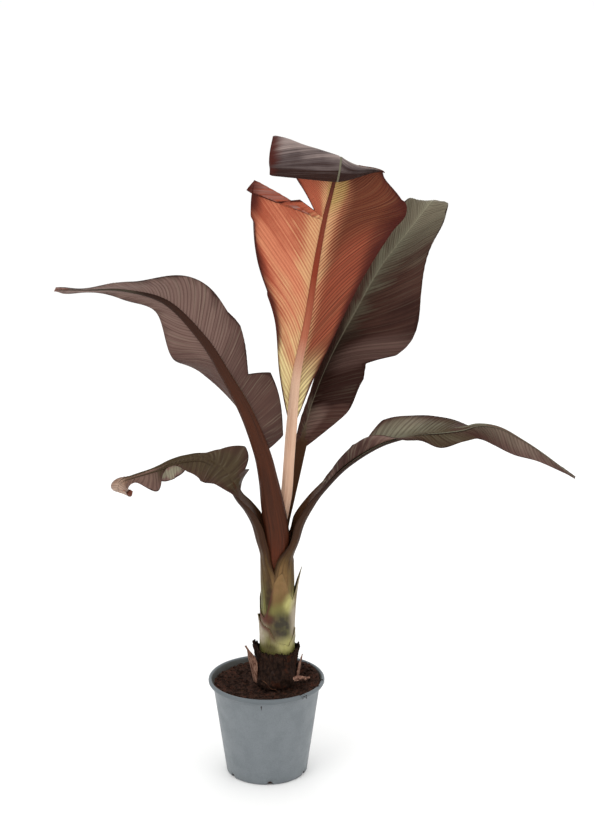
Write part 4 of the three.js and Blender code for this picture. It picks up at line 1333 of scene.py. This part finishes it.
# The two sides of each blade, and what both share. "across" gives the colours from rib to margin,
# "along" colours laid over them from base to tip with their share, "halves" a colour painted over one
# half as shade, "spots" a colour with its centre, radii and share, "veins" their number, "stripe" their
# colour and share, "stripe_left" their colour on the left half, "light" pale lines between them on one
# half, "glint" and "pale" the share and colour of the finest lines, "edge" the margin's colour with its
# start and share, "groove" the width and share of the rib's pale channel, "bow" how far the veins bend
# forward, and "gloss" how much the blade shines.
LOOKS = {
    "upper_left": {
        "upper": {"across": [(0.05, "moss"), (0.4, "bronze"), (1, "bronze_dark")],
                  "stripe": ("bronze_dark", 0.5), "groove": (0.03, 0.85)},
        "under": {"across": [(0, "mauve"), (0.7, "mauve"), (1, "mauve_dark")], "stripe": ("mauve_dark", 0.65),
                  "along": [(0, "bronze_dark", 0.85), (0.1, "bronze", 0.8), (0.22, "mauve_dark", 0.85),
                            (0.31, "mauve_dark", 0.6), (0.42, "mauve", 0), (0.93, "plum_light", 0.5),
                            (1, "red", 0.4)]},
        "veins": 90, "edge": ("bronze_dark", 0.93, 0.8),
    },
    "centre": {
        "upper": {"across": [(0.0, "plum_light"), (0.3, "plum"), (1, "plum")], "stripe": ("bronze_dark", 0.3),
                  # On the centre leaf's roll these stops paint light and shade: the light plum on its top is
                  # painted light, and the dark bronze along its foot is painted shade.
                  "along": [(0.6, "plum_light", 0.5), (0.67, "plum_light", 1), (0.76, "plum_light", 0.85),
                            (0.83, "plum", 0.8), (0.9, "bronze_dark", 1)],
                  "spots": [("sage", (0.4, 0.72), (0.28, 0.07), 0.9), ("red", (0.8, 0.425), (0.5, 0.06), 1)],
                  "glint": 0.25, "pale": "plum_light"},
        "under": {"across": [(0.04, "beige"), (0.26, "salmon"), (0.65, "salmon"), (0.95, "red")],
                  "stripe": ("red", 0.6), "stripe_left": "deep_red",
                  "along": [(0.0, "cream", 1), (0.1, "cream", 0.9), (0.2, "beige", 0.4), (0.27, "salmon", 0),
                            (0.28, "red", 0), (0.35, "red", 0.8)],
                  # Painted shade: the umber over the left half stands for the shade on the half turned from
                  # the light.
                  "halves": [("left", "painted_shade_umber", 0.95)],
                  "light": [("left", "beige", 0.36, 0.4), ("right", "beige", 0.45, 0.45)], "glint": 0.1,
                  "spots": [("red", (0.2, 0.22), (0.34, 0.2), 0.7),
                            ("deep_red", (0.04, 0.4), (0.14, 0.2), 0.7),
                            ("beige", (0.52, 0.43), (0.13, 0.24), 0.9),
                            ("lime", (0.47, 0.57), (0.1, 0.14), 0.9),
                            ("cream", (0.3, 0.0), (0.5, 0.16), 0.9)]},
        "veins": 100, "edge": ("deep_red", 0.8, 0.97), "pale": "beige", "bow": 0.08,
    },
    "back_right": {
        "upper": {"across": [(0.0, "moss"), (0.25, "bronze"), (0.9, "bronze")],
                  "stripe": ("bronze_dark", 0.45), "groove": (0.022, 0.45), "glint": 0.08,
                  # Partly painted shade: near the foot, the dark bronze is the blade's own dark colour, made
                  # darker where the blade lies behind the crease at its notch.
                  "along": [(0.08, "mauve_dark", 0.6), (0.14, "bronze_dark", 1), (0.31, "bronze_dark", 0.9),
                            (0.46, "bronze", 0.2), (0.54, "moss", 0.2), (0.66, "moss", 0.75),
                            (0.9, "sage", 0.7)],
                  "spots": [("mauve", (0.8, 0.27), (0.36, 0.07), 0.5),
                            ("mauve", (0.62, 0.08), (0.2, 0.06), 0.8)]},
        "under": {"across": [(0, "mauve"), (0.7, "mauve"), (1, "mauve_dark")], "stripe": ("mauve_dark", 0.6)},
        "veins": 84, "edge": ("bronze_dark", 0.95, 0.8), "gloss": 0.06,
    },
    "lower_left": {
        "upper": {"across": [(0, "olive"), (0.5, "olive"), (1, "bronze")], "stripe": ("bronze_dark", 0.4),
                  "glint": 0.12, "spots": [("beige", (0.5, 0.82), (0.7, 0.2), 0.3)],
                  "along": [(0.4, "olive", 0), (0.5, "mauve", 0.6), (0.66, "pink", 0.8),
                            (0.8, "plum_light", 0.95)]},
        "under": {"across": [(0, "pink"), (0.25, "pink"), (0.5, "sage"), (0.8, "sage"), (1, "mauve")],
                  "stripe": ("mauve_dark", 0.35),
                  "along": [(0.7, "red", 0), (0.85, "red", 0.8)]},
        "veins": 44, "edge": ("bronze_dark", 0.94, 0.8),
    },
    "lower_right": {
        "upper": {"across": [(0, "moss"), (0.3, "moss"), (0.8, "bronze"), (1, "bronze_dark")],
                  "stripe": ("bronze_dark", 0.45), "glint": 0.07,
                  "spots": [("sage", (0.25, 0.22), (0.26, 0.1), 0.5),
                            ("olive", (0.78, 0.33), (0.36, 0.11), 1)],
                  "along": [(0.28, "olive", 0.1), (0.4, "olive", 0.85), (0.5, "bronze", 0.9),
                            (0.58, "mauve_dark", 0.6), (0.8, "mauve", 0.7), (1, "mauve_dark", 0.9)]},
        "under": {"across": [(0, "bronze_dark"), (0.5, "mauve_dark"), (0.75, "mauve"), (1, "pink")],
                  "stripe": ("mauve_dark", 0.35),
                  "along": [(0.05, "bronze_dark", 0.9), (0.13, "mauve_dark", 0.4), (0.17, "pink", 0.5)]},
        "veins": 56, "edge": ("bronze_dark", 0.95, 0.8),
    },
}


class PLANT_OT_blades(bpy.types.Operator):
    """Build the five veined blades in place of the plain ones"""

    bl_idname = "plant.blades"
    bl_label = "Blades"

    def execute(self, context):
        for name in BLADES:
            leaf = Leaf(name)
            look = LOOKS[name]
            sides = [blade_finish(f"blade_{name}_{side}", {**look, **look[side]})
                     for side in ("upper", "under")]

            def rule(across, along):
                return blade_points(leaf, along, 2 * across - 1)

            bm = shaped_grid(BLADE_COLUMNS, BLADE_ROWS, rule)
            piece = add_piece(f"leaf_{name}", bm, sides, leaf.habit["nodes"])
            thicken(piece, settings().leaves.wall)
        return {"FINISHED"}


# The stage, in metres: the floor's radius, the place that the lights look at, and each light's name,
# place, size and the setting that gives its power.
FLOOR_RADIUS = 60
AIM = (0, 0, 0.55)
LIGHTS = [
    ("key", (-1.7, -2.0, 2.6), 1.8, "key"),
    ("fill", (2.2, -1.4, 1.6), 2.0, "fill"),
    ("back", (0.4, 2.4, 2.4), 2.0, "fill"),
]


class PLANT_OT_stage(bpy.types.Operator):
    """Set up the pale floor, the soft light and the camera"""

    bl_idname = "plant.stage"
    bl_label = "Floor, light and camera"

    def execute(self, context):
        stage = settings().stage
        scene = context.scene
        bm = bmesh.new()
        bmesh.ops.create_circle(bm, cap_ends=True, radius=FLOOR_RADIUS, segments=96)
        mesh = bpy.data.meshes.new("floor")
        bm.to_mesh(mesh)
        bm.free()
        floor = bpy.data.objects.new("floor", mesh)
        scene.collection.objects.link(floor)
        mesh.materials.append(plain_finish("floor", stage.floor, stage.floor, 3, 0.9, 0))
        world = scene.world or bpy.data.worlds.new("studio")
        scene.world = world
        scene.view_settings.view_transform = "Standard"
        world.use_nodes = True
        ground = world.node_tree.nodes["Background"]
        ground.inputs["Color"].default_value = (1, 1, 1, 1)
        ground.inputs["Strength"].default_value = stage.sky
        for name, place, size, strength in LIGHTS:
            soft_light(name, place, size, getattr(stage, strength))
        eye = bpy.data.cameras.new("camera")
        eye.lens = stage.lens
        camera = bpy.data.objects.new("camera", eye)
        camera.location = (0, -stage.camera_away, stage.camera_high)
        camera.rotation_euler = (math.pi / 2 - stage.pitch, 0, -stage.yaw)
        scene.collection.objects.link(camera)
        scene.camera = camera
        return {"FINISHED"}


def soft_light(name, place, size, strength):
    """A square soft light that looks at the middle of the plant."""
    light = bpy.data.lights.new(name, "AREA")
    light.size = size
    light.energy = strength
    lamp = bpy.data.objects.new(name, light)
    lamp.location = place
    look = Vector(AIM) - Vector(place)
    lamp.rotation_euler = look.to_track_quat("-Z", "Y").to_euler()
    bpy.context.scene.collection.objects.link(lamp)


OPERATORS = [
    PLANT_OT_stage, PLANT_OT_pot, PLANT_OT_soil, PLANT_OT_crown, PLANT_OT_stem, PLANT_OT_limbs,
    PLANT_OT_blades,
]


class PLANT_PT_panel(bpy.types.Panel):
    """Lists the pieces of the plant and their settings"""

    bl_idname = "PLANT_PT_panel"
    bl_label = "Banana plant"
    bl_space_type = "VIEW_3D"
    bl_region_type = "UI"
    bl_category = "Banana plant"

    def draw(self, context):
        plant = settings()
        for group in (plant.pot, plant.soil, plant.stem, plant.leaves, plant.stage):
            box = self.layout.box()
            for key in group.__annotations__:
                box.prop(group, key)
        for operator in OPERATORS:
            self.layout.operator(operator.bl_idname)


CLASSES = [
    PotSettings, SoilSettings, StemSettings, LeafSettings, StageSettings, PlantSettings, *OPERATORS,
    PLANT_PT_panel,
]


def register():
    for item in CLASSES:
        bpy.utils.register_class(item)
    bpy.types.Scene.banana_plant = bpy.props.PointerProperty(
        name="Banana plant", description="Sizes and colours of the banana plant", type=PlantSettings
    )


def unregister():
    del bpy.types.Scene.banana_plant
    for item in reversed(CLASSES):
        bpy.utils.unregister_class(item)


def main():
    register()
    bpy.ops.plant.stage()
    bpy.ops.plant.pot()
    bpy.ops.plant.soil()
    bpy.ops.plant.crown()
    bpy.ops.plant.stem()
    bpy.ops.plant.limbs()
    bpy.ops.plant.blades()


if __name__ == "__main__":
    main()
